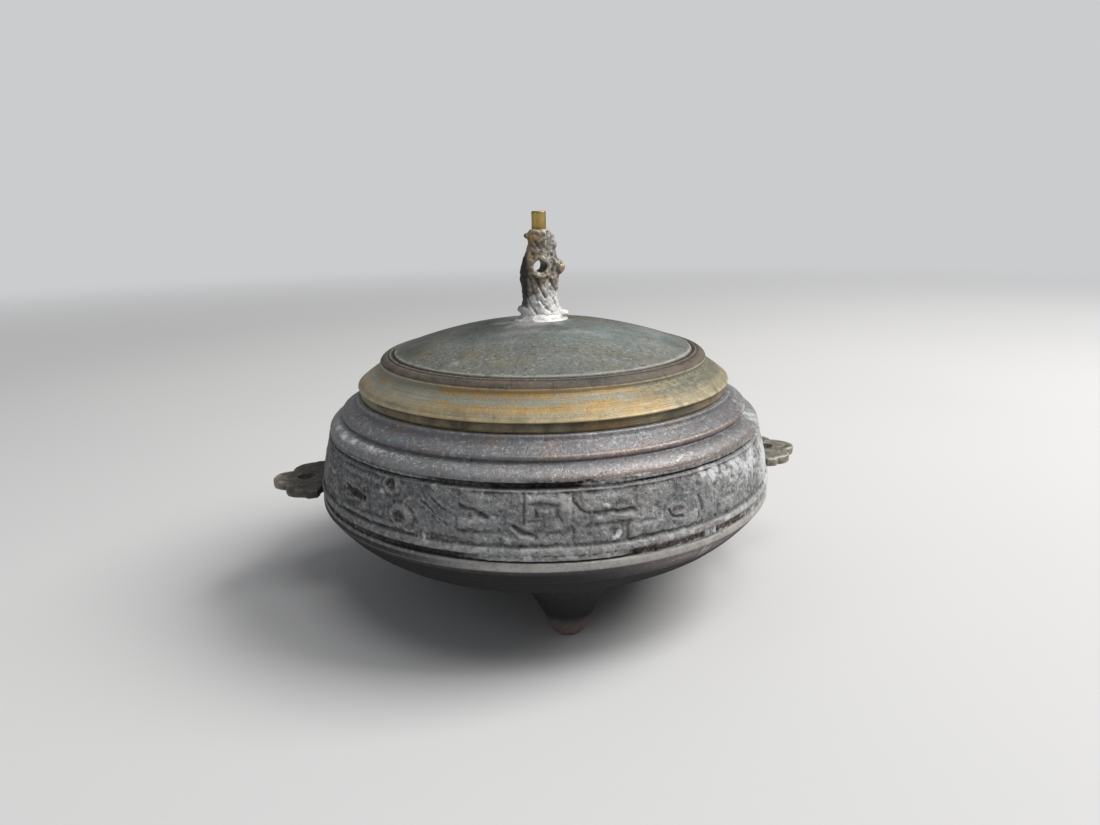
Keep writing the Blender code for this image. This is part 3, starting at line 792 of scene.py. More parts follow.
def box_reach(along, up, box):
    """Signed distance in mm to a box of (start, end) degrees and (low, high) mm, negative inside."""
    start, end, low, high = box
    half = (round_way(end - start) / 2, (high - low) / 2)
    dx = np.abs(along - round_way((start + end) / 2)) - half[0]
    dz = np.abs(up - (low + high) / 2) - half[1]
    outside = np.hypot(np.maximum(dx, 0), np.maximum(dz, 0))
    return outside + np.minimum(np.maximum(dx, dz), 0)


def oval_reach(along, up, oval):
    """Signed distance in mm to an oval of (degrees, height, half length, half height)."""
    middle, level, half_length, half_height = oval
    ratio = np.hypot((along - round_way(middle)) / half_length, (up - level) / half_height)
    return (ratio - 1.0) * min(half_length, half_height)


def line_reach(along, up, points):
    """Distance in mm to a broken line of (degrees, height) points."""
    return line_distance(along, up, [(round_way(angle), height) for angle, height in points])


def raised_figures():
    """The worn archaic figures as (reach function, outer shape, inner shape or None, rise)."""
    return [
        (box_reach, (-4.4, 5.0, 46.4, 55.2), (-2.6, 2.8, 48.9, 52.9), 0.9),
        (box_reach, (-1.5, 1.6, 49.6, 51.8), None, 0.5),
        (box_reach, (-5.4, 4.4, 42.7, 45.0), None, 0.7),
        (box_reach, (7.6, 18.4, 50.3, 54.6), None, 0.6),
        (box_reach, (9.8, 17.8, 47.6, 49.5), None, 1.4),
        (box_reach, (6.2, 14.8, 42.7, 46.4), None, 0.6),
        (box_reach, (20.6, 34.0, 50.6, 54.4), None, 0.3),
        (box_reach, (16.9, 33.6, 42.7, 46.0), None, 0.9),
        (oval_reach, (28.2, 47.3, 3.3, 2.2), (28.2, 47.4, 1.7, 1.0), 0.8),
        (box_reach, (35.6, 38.7, 41.6, 55.0), None, 0.45),
        (box_reach, (40.6, 53.0, 49.5, 53.2), None, 0.5),
        (box_reach, (40.6, 53.0, 42.7, 46.3), None, 0.6),
        (box_reach, (55.6, 66.0, 44.5, 51.3), (58.0, 63.6, 46.1, 49.7), 0.8),
        (box_reach, (-17.4, -8.4, 51.4, 55.0), None, 0.6),
        (box_reach, (-18.0, -8.8, 46.2, 49.2), None, 0.9),
        (box_reach, (-18.4, -8.0, 42.7, 44.8), None, 0.5),
        (oval_reach, (-32.4, 46.6, 3.9, 3.0), (-32.6, 46.4, 2.3, 1.6), 1.4),
        (oval_reach, (-35.4, 53.8, 2.9, 2.3), (-35.5, 54.2, 1.9, 1.5), 0.9),
        (oval_reach, (-47.2, 47.0, 6.4, 2.8), (-47.2, 48.4, 5.0, 1.5), 0.8),
        (box_reach, (-53.0, -38.6, 53.6, 54.6), None, 0.9),
        (box_reach, (-53.0, -29.6, 42.9, 44.0), None, 0.8),
        (box_reach, (-66.0, -56.0, 44.5, 51.3), (-63.6, -58.4, 46.1, 49.7), 0.8),
    ]


def cut_lines():
    """Chased and worn lines as (points, width, depth) in degrees and mm; a raised one has a minus depth."""
    return [
        (((-27.4, 53.2), (-24.6, 50.2), (-21.0, 46.8)), 0.30, -0.32),
        (((-26.2, 50.4), (-23.6, 48.2), (-20.4, 45.6)), 0.26, -0.26),
        (((-25.2, 54.0), (-22.0, 51.4), (-18.4, 49.6)), 0.30, -0.28),
        (((-26.6, 51.6), (-24.0, 49.2), (-20.6, 46.2)), 0.30, 0.24),
        (((-24.4, 52.4), (-21.6, 50.2), (-18.6, 48.6)), 0.30, 0.20),
        (((-4.6, 55.6), (-4.4, 51.0), (-4.4, 48.2)), 0.36, 0.45),
        (((-3.8, 53.1), (-1.0, 53.0), (2.4, 52.8)), 0.30, 0.30),
        (((-3.4, 48.5), (-0.4, 48.4)), 0.30, 0.34),
        (((3.5, 55.8), (5.2, 54.6), (6.0, 52.6), (6.9, 51.2), (8.4, 50.3)), 0.40, 0.60),
        (((8.4, 50.3), (12.5, 49.95), (18.4, 49.7)), 0.45, 0.80),
        (((9.4, 48.6), (13.0, 48.9), (17.4, 49.0)), 0.30, -0.25),
        (((-6.6, 47.0), (-4.4, 45.6), (-2.2, 44.4)), 0.55, 0.85),
        (((-7.0, 46.0), (-5.2, 44.8), (-3.6, 43.8)), 0.35, -0.35),
        (((-17.6, 51.3), (-15.2, 50.8), (-12.2, 49.2)), 0.65, 1.00),
        (((-16.8, 49.9), (-14.6, 49.5), (-12.6, 48.2)), 0.40, -0.30),
        (((16.6, 46.2), (16.6, 42.8)), 0.30, 0.30),
        (((16.8, 42.3), (25.0, 42.2), (31.0, 42.2), (33.4, 43.0), (34.2, 45.2)), 0.30, 0.35),
        (((26.4, 47.6), (26.8, 46.3), (27.8, 45.6), (29.4, 45.6)), 0.40, 0.70),
        (((-26.0, 43.0), (-22.4, 43.1), (-18.6, 43.0)), 0.26, 0.30),
        (((-16.4, 41.8), (-11.0, 41.6), (-6.6, 41.7)), 0.26, 0.34),
        (((-52.0, 42.0), (-40.0, 41.9), (-28.5, 42.0)), 0.45, 0.60),
        (((-35.3, 46.2), (-34.2, 44.9), (-31.4, 44.7)), 0.55, 0.55),
        (((-51.4, 48.9), (-48.0, 48.4), (-43.8, 47.9)), 0.85, 0.95),
        (((-52.0, 45.9), (-47.4, 46.8), (-43.8, 46.8)), 0.40, -0.40),
        (((5.0, 47.0), (5.3, 44.4), (5.4, 42.2)), 0.36, 0.22),
        (((34.8, 49.6), (34.9, 48.0), (35.1, 46.0)), 0.40, 0.30),
    ]


def deposits():
    """Where pale crust has grown, as (degrees, height, half length, half height, strength)."""
    return [
        (54.0, 50.5, 15.0, 6.0, 0.70), (40.0, 54.3, 3.4, 1.5, 1.30), (44.5, 53.4, 2.6, 2.2, 1.20),
        (49.0, 54.6, 3.6, 1.5, 1.30), (36.6, 55.0, 2.2, 1.0, 1.20), (58.0, 53.0, 5.0, 2.4, 1.00),
        (72.0, 46.0, 14.0, 12.0, 0.95), (72.0, 60.0, 10.0, 9.0, 0.60), (-7.4, 43.6, 1.8, 1.6, 0.85),
        (-24.0, 55.6, 2.2, 0.8, 1.10), (-37.0, 51.6, 3.6, 1.0, 0.60), (-26.5, 42.0, 4.0, 1.6, 0.70),
        (-15.0, 48.4, 3.0, 0.8, 0.50), (-4.0, 53.8, 2.0, 1.0, 0.60), (-1.0, 51.0, 2.0, 1.2, 0.50),
        (6.0, 39.8, 20.0, 1.6, 0.50), (-20.0, 40.6, 12.0, 1.0, 0.45), (58.0, 38.5, 14.0, 3.0, 0.60),
        (20.0, 58.1, 4.0, 0.4, 0.90),
    ]


def folded_angle(points, repeat=FRIEZE_REPEAT):
    """Degrees round the bowl from the middle of the front, which start again at each repeat."""
    angle = np.degrees(np.arctan2(points[:, 1], points[:, 0])) + 90.0 - FRIEZE_TURN
    return (angle + repeat / 2) % repeat - repeat / 2


def front_share(points):
    """1 on the front half, falling to 0 behind, where the finish is plainer."""
    return 1 - smooth_step(0.0, 25.0, points[:, 1] / MM)


def fill_of_recesses(angle, height):
    """How far deposits fill the recesses above and below the frieze, from 0 to 1."""
    low = between(angle, -22, -10, 15, 19) * smooth_step(37.4, 38.0, height)
    low = np.maximum(low, 0.55 * (1 - smooth_step(-44, -26, angle)))
    low = np.maximum(low, 0.62 * smooth_step(18, 20, angle))
    low = np.maximum(low, between(angle, 34.6, 35.6, 38.8, 39.8))
    low = np.maximum(low, smooth_step(50, 56, angle) * 0.8) * (1 - smooth_step(39.6, 40.0, height))
    high = np.maximum(smooth_step(5, 9, angle), 1 - smooth_step(-31, -22, angle))
    gap = 0.75 * smooth_step(6, 9, angle) * (1 - smooth_step(15, 24, angle))
    line = np.exp(-(((height - 56.55) / 0.26) ** 2)) * (1 - gap)
    high = high * np.clip(1 - 1.1 * line, 0, 1) * smooth_step(55.9, 56.2, height)
    high = high * (1 - smooth_step(58.3, 58.6, height))
    return low, high


def shape_frieze(mesh, relief):
    """Moves the band's points in and out: figures, cut lines, deposits in the recesses, and wear."""
    points = read_points(mesh)
    radius, height = turned_place(points)
    band = np.flatnonzero((height > BAND_LOW - 0.2) & (height < BAND_TOP + 0.3) & (radius > BAND_RADIUS))
    own = points[band]
    angle = folded_angle(own)
    level = height[band]
    broad = lumps(own, 6.0, 1)
    middle = lumps(own, 2.6, 2)
    small = lumps(own, 1.2, 3)
    fine = lumps(own, 0.62, 6)
    along = round_way(angle) + 0.65 * middle + 0.26 * small
    up = level + 0.36 * lumps(own, 2.6, 4) + 0.20 * lumps(own, 1.2, 5)
    rise = np.zeros(len(band))
    for reach, outer, inner, share in raised_figures():
        away = reach(along, up, outer)
        if inner:
            away = np.maximum(away, -reach(along, up, inner))
        worn = np.clip(share * (0.75 + 0.9 * broad + 0.3 * middle), 0, 1.5)
        rise = np.maximum(rise, worn * (1 - smooth_step(-FIGURE_EDGE, FIGURE_EDGE, away)))
    rise = rise * relief
    for line, width, depth in cut_lines():
        patchy = np.clip(0.75 + 1.0 * middle + 0.4 * small, 0.0, 1.4)
        rise = rise - depth * patchy * (1 - smooth_step(0, width * 1.8, line_reach(along, up, line)))
    for line, width in pale_chips():
        chip_rise = 1 - smooth_step(-0.3, 0.25, line_reach(along, up, line) - width)
        rise = rise + 0.30 * chip_rise * front_share(own)
    on_field = between(level, FIELD_LOW - 0.4, FIELD_LOW + 0.3, 55.5, 56.0)
    skin = 0.34 * broad + 0.20 * middle + 0.13 * small + 0.09 * fine
    pits = scatter_pits(own, 2.2, 0.16, 7)
    fill_low, fill_high = fill_of_recesses(angle, level)
    low_fill = LOW_FILL_RADIUS + 0.18 * middle
    wanted = np.where(level < 48, low_fill, HIGH_FILL_RADIUS + 0.10 * middle + 0.05 * small)
    filled = np.maximum(fill_low, fill_high)
    base = radius[band]
    deeper = np.maximum(wanted - base, 0) * filled
    rough_ledge = (0.22 * small + 0.12 * fine) * (1 - on_field) * (1 - smooth_step(57.6, 58.2, level))
    eaten = eaten_lip(own, angle, level, small)
    moved = base + on_field * (rise + skin - 0.34 - 0.24 * pits) + deeper + rough_ledge - eaten
    scale = moved / base
    points[band, 0] *= scale
    points[band, 1] *= scale
    write_points(mesh, points)


def pale_chips():
    """Two pale grains that stuck to the frieze, as (broken line, half width)."""
    return [
        (((11.9, 51.9), (12.7, 51.6)), 0.45),
        (((13.6, 43.0), (14.4, 43.6), (14.7, 44.5)), 0.62),
    ]


def eaten_lip(points, angle, level, small):
    """How deep corrosion has eaten into the roll's lower lip near the middle of the front, in mm."""
    where = between(angle, -5, -1, 8, 12)
    where = where * smooth_step(56.0, 56.5, level) * (1 - smooth_step(58.2, 58.9, level + 0.4 * small))
    holes = scatter_pits(points, 1.9, 0.62, 9)
    return where * (0.95 * holes + 0.35 * smooth_step(-0.2, 0.5, small))


def roughen(mesh, amount, size, seed):
    """Moves every point a little along its normal, as the casting's unevenness."""
    points = read_points(mesh)
    push_out(mesh, points, lumps(points, size, seed) * amount)


def scatter_pits(points, size, share, seed):
    """Round pits of about size mm, in a share of the places, from 0 at their rim to 1 at their middle."""
    shift = Vector((seed * 1.7, seed * 2.9, seed * 4.1))
    scale = 1.0 / (size * MM)
    depth = np.zeros(len(points))
    for i, point in enumerate(points):
        away, places = noise.voronoi(Vector(point) * scale + shift)
        if noise.cell(places[0] * 9.7) * 0.5 + 0.5 < share:
            depth[i] = max(0.0, 1.0 - away[0] / 0.5)
    return depth


def mark_bowl(mesh):
    """Stores where the bowl is turned smooth, crusted, speckled, coppery and sooty, and where it has painted
    shade, painted light and a painted highlight.
    """
    points = read_points(mesh)
    radius, height = turned_place(points)
    angle = folded_angle(points)
    front = front_share(points)
    fade = 1 - smooth_step(64, 88, np.abs(angle))
    broad = lumps(points, 6.0, 1)
    mid = lumps(points, 9.0, 11)
    near = lumps(points, 2.5, 12)
    small = lumps(points, 1.2, 3)
    outside = (radius > 57.9).astype(float)
    turned = np.maximum(smooth_step(57.9, 58.5, height), 1 - smooth_step(37.0, 37.4, height))
    crust = patch_sum(angle + 2 * mid + 1.5 * near, height + 0.8 * near + 0.4 * small, deposits()) * outside
    crust = crust * (0.35 + 0.65 * front)
    along = round_way(angle)
    for line, width in pale_chips():
        chip = line_reach(along, height, line) - width + 0.25 * near
        crust = np.maximum(crust, 1.5 * front * (1 - smooth_step(-0.25, 0.2, chip)))
    ledge = between(height, 39.6, 40.1, 41.2, 41.9)
    crust = np.maximum(crust, (0.50 - 0.35 * smooth_step(-18, -36, angle)) * ledge)
    fill_low, fill_high = fill_of_recesses(angle, height)
    crust = np.maximum(crust, 0.50 * smooth_step(0.7, 1.0, fill_low))
    crust = crust + (1 - turned) * outside * (0.22 * smooth_step(0.0, 0.7, broad + 0.6 * small) - 0.05)
    roll = between(height, 58.2, 59.4, 61.5, 62.0)
    specks = roll * (0.75 + 0.9 * mid + 0.25 * near) * (1 - 0.6 * smooth_step(5, 35, angle))
    specks = specks + 0.45 * smooth_step(62.2, 63, height) * (0.5 + mid) + 0.35 * (1 - turned)
    low_recess = between(height, 37.5, 37.9, 39.3, 39.7) * (radius < 75.0)
    bare = (1 - smooth_step(50, 55, angle)) * (1 - smooth_step(0.7, 0.95, fill_low))
    rust = low_recess * smooth_step(16, 20, angle) * bare * (0.85 + 0.6 * near)
    bead = between(height, 62.0, 62.4, 63.7, 64.2)
    rubbed = smooth_step(-14, 18, angle + 20 * mid) * fade
    copper = 0.75 * bead * rubbed
    side = between(height, 57.9, 58.2, 59.2, 60.0)
    copper = np.maximum(copper, 0.55 * side * rubbed)
    copper = np.maximum(copper, 0.35 * smooth_step(62, 63, height) * smooth_step(0.1, 0.5, mid))
    under = (1 - smooth_step(34.6, 34.98, height)) * (radius > 15)
    warm = patch_sum(angle, height, [(34.0, 33.0, 21.0, 3.0, 1.0)])
    rust = np.maximum(rust, warm * under * (0.7 + 0.8 * near))
    copper = np.maximum(copper, 0.7 * warm * under * (0.7 - near))
    # Soot and painted shade: the underside is darkened, less where the warm patch lies, and the inside is
    # sooty
    soot = under * (0.97 - 0.88 * warm)
    soot = np.maximum(soot, (1 - outside) * 0.75)
    # Painted shade: the open upper recess, the eaten holes, the lower recess on the left, the groove under
    # the frieze and the lower flange on the left are darkened
    recess = between(height, 56.0, 56.2, 57.7, 58.1) * (radius < 71.4)
    open_share = 1 - smooth_step(0.1, 0.8, fill_high)
    ragged = smooth_step(-0.45, 0.15, near + 0.5 * small + 0.05 * (angle + 9))
    soot = np.maximum(soot, recess * open_share * (0.35 + 0.55 * ragged))
    eaten = eaten_lip(points, angle, height, small) * (radius < 71.5) * outside
    soot = np.maximum(soot, 0.9 * smooth_step(0.25, 0.7, eaten))
    dark_low = low_recess * (1 - smooth_step(-20, -9, angle + 5 * near))
    soot = np.maximum(soot, (0.65 + 0.3 * near) * dark_low * smooth_step(-60, -24, angle) * fade)
    line = between(height, 37.15, 37.35, 37.7, 38.0) * (radius < 74.6)
    soot = np.maximum(soot, 0.80 * line)
    flange = between(height, 34.9, 35.1, 37.1, 37.5) * (radius > 74.0)
    low_flange = flange * (1 - smooth_step(36.5, 36.8, height))
    soot = np.maximum(soot, 0.85 * low_flange * smooth_step(-8, -36, angle) * fade)
    left = outside * smooth_step(-14, -46, angle) * fade
    # Blue-grey blots, with painted bluish light that grows towards the left side
    cool = 0.35 + 0.60 * smooth_step(10, -50, angle) * outside * fade + 0.3 * mid
    # Painted shade, with some darker tone: the bowl is darkened in the hollows of the figures, on its left
    # side, on the bead towards the left, low on the left and on its turned upper parts towards the right; the
    # term from broad lumps is darker tone at random
    places = [
        (-1.8, 50.6, 1.8, 1.6, 0.5), (29.0, 52.0, 4.0, 2.0, 0.35), (-35.5, 54.2, 2.2, 1.6, 0.8),
        (-32.6, 46.4, 1.8, 1.3, 0.7), (-47.5, 48.4, 4.2, 1.0, 0.8),
    ]
    dim = (1 - turned) * left * 0.48 + patch_sum(angle, height, places)
    dim = dim + 0.30 * (1 - turned) * outside * smooth_step(0.0, 0.6, -broad + 0.4 * near)
    dim = dim + 0.35 * bead * smooth_step(10, -20, angle)
    dim = dim + 0.30 * left * (1 - smooth_step(40.8, 41.6, height))
    dim = dim + 0.42 * turned * (height > 50) * smooth_step(14, 44, angle) * outside * fade
    # Painted highlight: a pale band along the roll's crest and a pale sheen on the turned upper parts, only
    # on the left side, laid on as crust
    left_crest_highlight = between(height, 59.9, 60.6, 61.2, 61.5) * left
    bloom = 0.46 * left_crest_highlight * (0.8 + 0.3 * near + 0.3 * small)
    bloom = bloom + 0.27 * turned * left * (height > 58.2) * (0.7 + near)
    crust = crust + bloom * (0.15 + 0.85 * front)
    specks = specks + 0.7 * left_crest_highlight * front
    # Painted light, with a cream deposit: the flange is paler towards the front and right and less pale on
    # the left
    cream = flange * (0.25 + 0.60 * smooth_step(-32, -8, angle) * fade - 0.25 * left)
    layers = {"turned": turned, "crust": crust, "copper": copper, "soot": soot, "rust": rust}
    layers.update({"specks": specks, "cool": cool, "dim": dim, "cream": cream})
    store(mesh, layers, 1.6)


def foot_shape(turn):
    """One cast foot, whose upper end follows the underside of the belly and lies just inside it."""
    outline = [
        (0.0, 0.0), (3.4, 0.0), (4.4, 0.2), (5.0, 0.8), (5.45, 1.8), (6.8, 4.8), (8.2, 7.8),
        (9.8, 11.0), (11.6, 14.2), (13.6, 17.2), (15.9, 20.2), (18.6, 23.0), (21.6, 25.6),
        (17.0, 26.2), (0.0, 26.2),
    ]
    foot = spin_outline(spaced(outline, step=1.2), FOOT_STEPS)
    centre = Vector((FOOT_CIRCLE * MM * cos(turn), FOOT_CIRCLE * MM * sin(turn), 0.0))
    bmesh.ops.translate(foot, verts=foot.verts, vec=centre)
    for vertex in foot.verts:
        ceiling = belly_height(vertex.co.xy.length / MM) + 1.4
        vertex.co.z = min(vertex.co.z, ceiling * MM)
    return foot


def build_bowl(form, colours):
    bm = spin_outline(bowl_outside() + bowl_inside()[:-1] + [bowl_outside()[0]], form.bowl_steps)
    band = [
        edge
        for edge in bm.edges
        if abs(edge.verts[0].co.z - edge.verts[1].co.z) < LEVEL_LIMIT
        and BAND_LOW < edge.verts[0].co.z / MM < BAND_TOP
        and edge.verts[0].co.xy.length > BAND_RADIUS * MM
    ]
    bmesh.ops.subdivide_edges(bm, edges=band, cuts=BAND_CUTS, use_grid_fill=True)
    piece = add_piece("bowl_dressed", bm, bowl_finish(colours))
    skin = form.casting_skin / MM
    shape_frieze(piece.data, form.frieze_relief / MM)
    roughen(piece.data, amount=skin, size=7.0, seed=21)
    roughen(piece.data, amount=skin / 3, size=1.8, seed=22)
    mark_wear(piece.data, reach=0.10)
    mark_bowl(piece.data)
    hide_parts("bowl")
    return piece


def build_feet(material):
    for name, turn in (("foot_front", -90.0), ("foot_right", 30.0), ("foot_left", 150.0)):
        piece = add_piece(name, foot_shape(radians(turn)), material)
        roughen(piece.data, amount=0.10, size=5.0, seed=31)
        mark_wear(piece.data, reach=0.12)
        height = read_points(piece.data)[:, 2] / MM
        layers = {"turned": 0.8, "specks": 0.1, "cool": 0.3}
        layers.update(crust=0.0, cream=0.0, rust=0.0, dim=0.0)
        layers["copper"] = 0.9 * (1 - smooth_step(2.0, 8.0, height))
        # Soot and painted shade: the feet are dark except near their tips
        layers["soot"] = 0.94 - 0.90 * (1 - smooth_step(2.0, 8.5, height))
        store(piece.data, layers)


# Lid


def dome_height(radius):
    return LID_TOP - DOME_RISE * (radius / DOME_RADIUS) ** 2


def lid_outline():
    """Down the dome, the stepped brim and the rim, then under it and up inside."""
    dome = [1.5, 4.0, 6.0, 8.0, 9.5, 11.0, 12.5, 14.0, 16.0, 18.0, 21.0, 24.0]
    dome += [28.0, 32.0, 36.0, 39.0, 42.0, 44.5, 46.5, 47.8]
    seat = SEAT + 0.12
    lip = MOUTH_RADIUS - 0.6
    inside = [44.0, 38.0, 31.0, 23.0, 14.0, 6.0]
    return [
        (0.0, LID_TOP),
        *[(r, dome_height(r)) for r in dome],
        (48.5, 81.13), (48.9, 81.02), (49.1, 80.8), (49.25, 80.5), (49.5, 80.3), (49.9, 80.25),
        (50.2, 80.35), (50.45, 80.5), (50.75, 80.5), (50.95, 80.25), (51.2, 80.1), (51.6, 80.15),
        (52.1, 80.05), (52.6, 79.8), (53.1, 79.45), (53.5, 79.05), (53.75, 78.6), (53.85, 78.2),
        (53.8, 77.85), (53.75, 77.5), (53.85, 77.2), (54.1, 76.9), (54.5, 76.55), (55.1, 76.1),
        (55.9, 75.5), (56.9, 74.8), (57.9, 74.1), (58.9, 73.4), (59.8, 72.7), (60.5, 72.1),
        (60.95, 71.7), (61.22, 71.4), (LID_RADIUS, 71.15), (61.24, 70.9), (61.0, 70.7),
        (60.8, 70.5), (60.75, 70.1), (60.75, 69.4), (60.72, 68.7), (60.65, 68.35),
        (60.4, seat + 0.05), (59.6, seat), (lip, seat), (lip, 66.0), (lip - 0.25, LID_LOW + 0.25),
        (lip - 0.6, LID_LOW), (lip - 2.1, LID_LOW), (lip - 2.4, LID_LOW + 0.3), (lip - 2.4, 68.0),
        (lip - 2.4, 71.6), (51.0, 75.3), (47.0, 79.0),
        *[(r, dome_height(r) - LID_WALL) for r in inside],
        (0.0, LID_TOP - LID_WALL),
    ]


def brim_bands(radius, angle, wave):
    """Paler grey-green bands between the golden ones of the brim, from 0 to 1."""
    first = np.exp(-(((radius - 55.9 - 0.8 * wave) / 1.0) ** 2))
    last = np.exp(-(((radius - 60.2 - 0.6 * wave) / 0.6) ** 2)) * 0.7
    left = smooth_step(-20, -46, angle + 14 * wave) * 1.1
    right = smooth_step(20, 44, angle + 12 * wave) * 1.1
    bands = np.maximum(np.maximum(first, last), np.maximum(left, right))
    return np.clip(bands * (0.8 + 0.8 * wave), 0, 1)


def dome_patches():
    """Where teal and ochre lie on the dome, as soft ovals in mm, seen from the front."""
    teal = (
        (19.0, -14.0, 12.0, 6.0, 0.9), (33.0, -6.0, 8.0, 10.0, 0.8), (8.0, -26.0, 14.0, 4.0, 0.6),
        (12.0, -3.0, 14.0, 4.0, 0.9), (-17.0, -3.0, 12.0, 4.5, 0.8), (-25.0, -22.0, 9.0, 3.0, 0.8),
        (5.0, 24.0, 22.0, 8.0, 0.7),
    )
    ochre = (
        (-36.0, -18.0, 7.0, 10.0, 0.9), (-21.0, -34.0, 10.0, 7.0, 0.8),
        (-8.0, -41.0, 10.0, 4.0, 0.6), (14.0, 2.0, 9.0, 5.0, 0.7), (-30.0, 4.0, 7.0, 10.0, 0.7),
        (22.0, -33.0, 14.0, 3.0, 0.5), (-10.0, 32.0, 16.0, 8.0, 0.6),
    )
    return teal, ochre


def mark_lid(mesh):
    """Stores where the lid is gold, dark at the step, whitened round the knop and sooty inside, and where
    painted shade darkens the dome and the brim's right side.
    """
    points = read_points(mesh)
    radius, height = turned_place(points)
    angle = folded_angle(points, repeat=360.0)
    x = radius * np.sin(np.radians(angle))
    y = -radius * np.cos(np.radians(angle))
    wave = lumps(points, 14.0, 42)
    broken = lumps(points, 4.0, 41)
    seen = (radius > 60.0) | ((height > 72) & (radius > 51.5)) | (height > dome_height(radius) - 1.2)
    gold = smooth_step(53.3, 53.6, radius) * (1 - smooth_step(78.3, 78.7, height))
    step = smooth_step(49.2, 49.5, radius) * smooth_step(78.2, 78.6, height)
    fillet = np.exp(-(((radius - 50.6) / 0.22) ** 2)) * (height > 80.2)
    rim = smooth_step(60.4, 60.6, radius) * (1 - smooth_step(70.9, 71.1, height))
    flux = np.clip(smooth_step(15.0, 8.0, np.hypot(x + 3.0, y + 1.0) + 5.0 * broken), 0, 1) * 0.5
    teal_places, ochre_places = dome_patches()
    teal = oval_sum(x + 4 * wave, y + 3 * broken, teal_places) + 0.25 * smooth_step(0.0, 0.6, wave)
    ochre = oval_sum(x + 3 * broken, y + 4 * wave, ochre_places) + 0.25 * smooth_step(0.0, -0.6, wave)
    layers = {"gold": gold, "step": step, "rim": rim, "flux": flux * (height > 86)}
    layers.update({"teal": teal, "ochre": ochre, "fillet": fillet, "soot": np.where(seen, 0.0, 0.8)})
    bloom = np.exp(-(((radius - 56.2) / 1.6) ** 2)) * smooth_step(-8, -30, angle + 10 * wave)
    layers["chalk"] = bloom * (0.6 + broken) + 0.35 * smooth_step(0.0, 0.5, broken - wave)
    layers["pale"] = brim_bands(radius, angle, wave + 0.4 * broken)
    lower = smooth_step(58.6, 60.2, radius + 0.8 * broken) * smooth_step(61.3, 60.9, radius)
    # Painted shade: dark olive on the brim's right side, besides the dark olive patina low on the brim
    sides = 1.0 * smooth_step(12, 38, angle + 12 * wave) * (1 - smooth_step(90, 120, angle))
    layers["olive"] = np.maximum(lower * (0.35 + 0.55 * smooth_step(20, -30, angle + 10 * wave)), sides)
    # Painted shade, with some darker tone at random: the dome is darker from its middle to its back, and
    # lighter on its front right
    upper = smooth_step(-38, -4, y + 5 * wave + 2 * broken) * (1 - 0.6 * smooth_step(20, 48, y))
    veil = 0.3 * smooth_step(0.0, 25.0, x + 6 * wave) * (1 - smooth_step(0.0, 20.0, y))
    layers["dim"] = upper * 0.42 + 0.26 * smooth_step(0.0, 0.6, wave + 0.4 * broken) + 0.14 - veil
    streaks = (
        (8.0, -19.0, 20.0, 2.4, 0.9), (28.0, -16.0, 8.0, 7.0, 0.6), (-24.0, -36.0, 2.6, 1.8, 1.0),
        (-8.0, -26.0, 16.0, 1.8, 0.5), (36.0, -2.0, 5.0, 12.0, 0.6), (6.0, -40.0, 22.0, 1.6, 0.5),
    )
    layers["veil"] = oval_sum(x + 2 * wave, y + 2 * wave + 1.2 * broken, streaks)
    quiet = stored(mesh, "hollow") * (1 - 0.85 * gold * (height > 72.2)) * (1 - 0.5 * fillet)
    layers["hollow"] = quiet * smooth_step(47.8, 48.6, radius) * (1 - 0.6 * (radius > 60.6))
    layers["ridge"] = stored(mesh, "ridge") * smooth_step(47.2, 48.4, radius)
    store(mesh, layers)


def chip_dome_edge(mesh):
    """Small knocks in the dome's edge and in the thin fillet below it."""
    points = read_points(mesh)
    radius, height = turned_place(points)
    edge = np.flatnonzero((radius > 47.0) & (radius < 51.2) & (height > 79.6))
    broad = lumps(points[edge], 4.0, 51)
    small = lumps(points[edge], 1.3, 52)
    depth = 0.22 * smooth_step(0.25, 0.8, broad) + 0.10 * smooth_step(0.1, 0.6, small)
    points[edge, 2] -= depth * MM
    write_points(mesh, points)


def build_lid(colours):
    bm = spin_outline(lid_outline(), LID_STEPS)
    piece = add_piece("lid_dressed", bm, lid_finish(colours))
    chip_dome_edge(piece.data)
    roughen(piece.data, amount=0.07, size=9.0, seed=61)
    roughen(piece.data, amount=0.02, size=2.0, seed=62)
    mark_wear(piece.data, reach=0.12)
    mark_lid(piece.data)
    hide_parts("lid")


# Lugs

LUG_VOXEL = 0.32


def pierced_skin(bm, hole, name, voxel):
    """One even skin over overlapping closed shapes, less the shape of a hole."""
    piece = add_object(name, bm)
    cutter = add_object(name + " hole", hole)
    skin = {"mode": "VOXEL", "voxel_size": voxel}
    cut = {"operation": "DIFFERENCE", "solver": "EXACT", "object": cutter}
    for kind, settings in (("REMESH", skin), ("BOOLEAN", cut), ("REMESH", skin)):
        step = piece.modifiers.new(kind.lower(), kind)
        for setting, value in settings.items():
            setattr(step, setting, value)
    bpy.context.view_layer.update()
    graph = bpy.context.evaluated_depsgraph_get()
    made = bpy.data.meshes.new_from_object(piece.evaluated_get(graph))
    for used in (piece.data, cutter.data):
        bpy.data.meshes.remove(used)
    return add_object(name, made)


def even_out(mesh, rounds):
    bm = bmesh.new()
    bm.from_mesh(mesh)
    for _ in range(rounds):
        bmesh.ops.smooth_vert(
            bm, verts=bm.verts, factor=0.5, use_axis_x=True, use_axis_y=True, use_axis_z=True
        )
    bm.to_mesh(mesh)
    bm.free()


def add_disc(bm, x, y, radius, low, high):
    """A closed round plate."""
    made = bmesh.ops.create_cone(
        bm, cap_ends=True, segments=48, radius1=radius * MM, radius2=radius * MM, depth=(high - low) * MM
    )
    bmesh.ops.translate(bm, verts=made["verts"], vec=Vector((x, y, (low + high) / 2)) * MM)


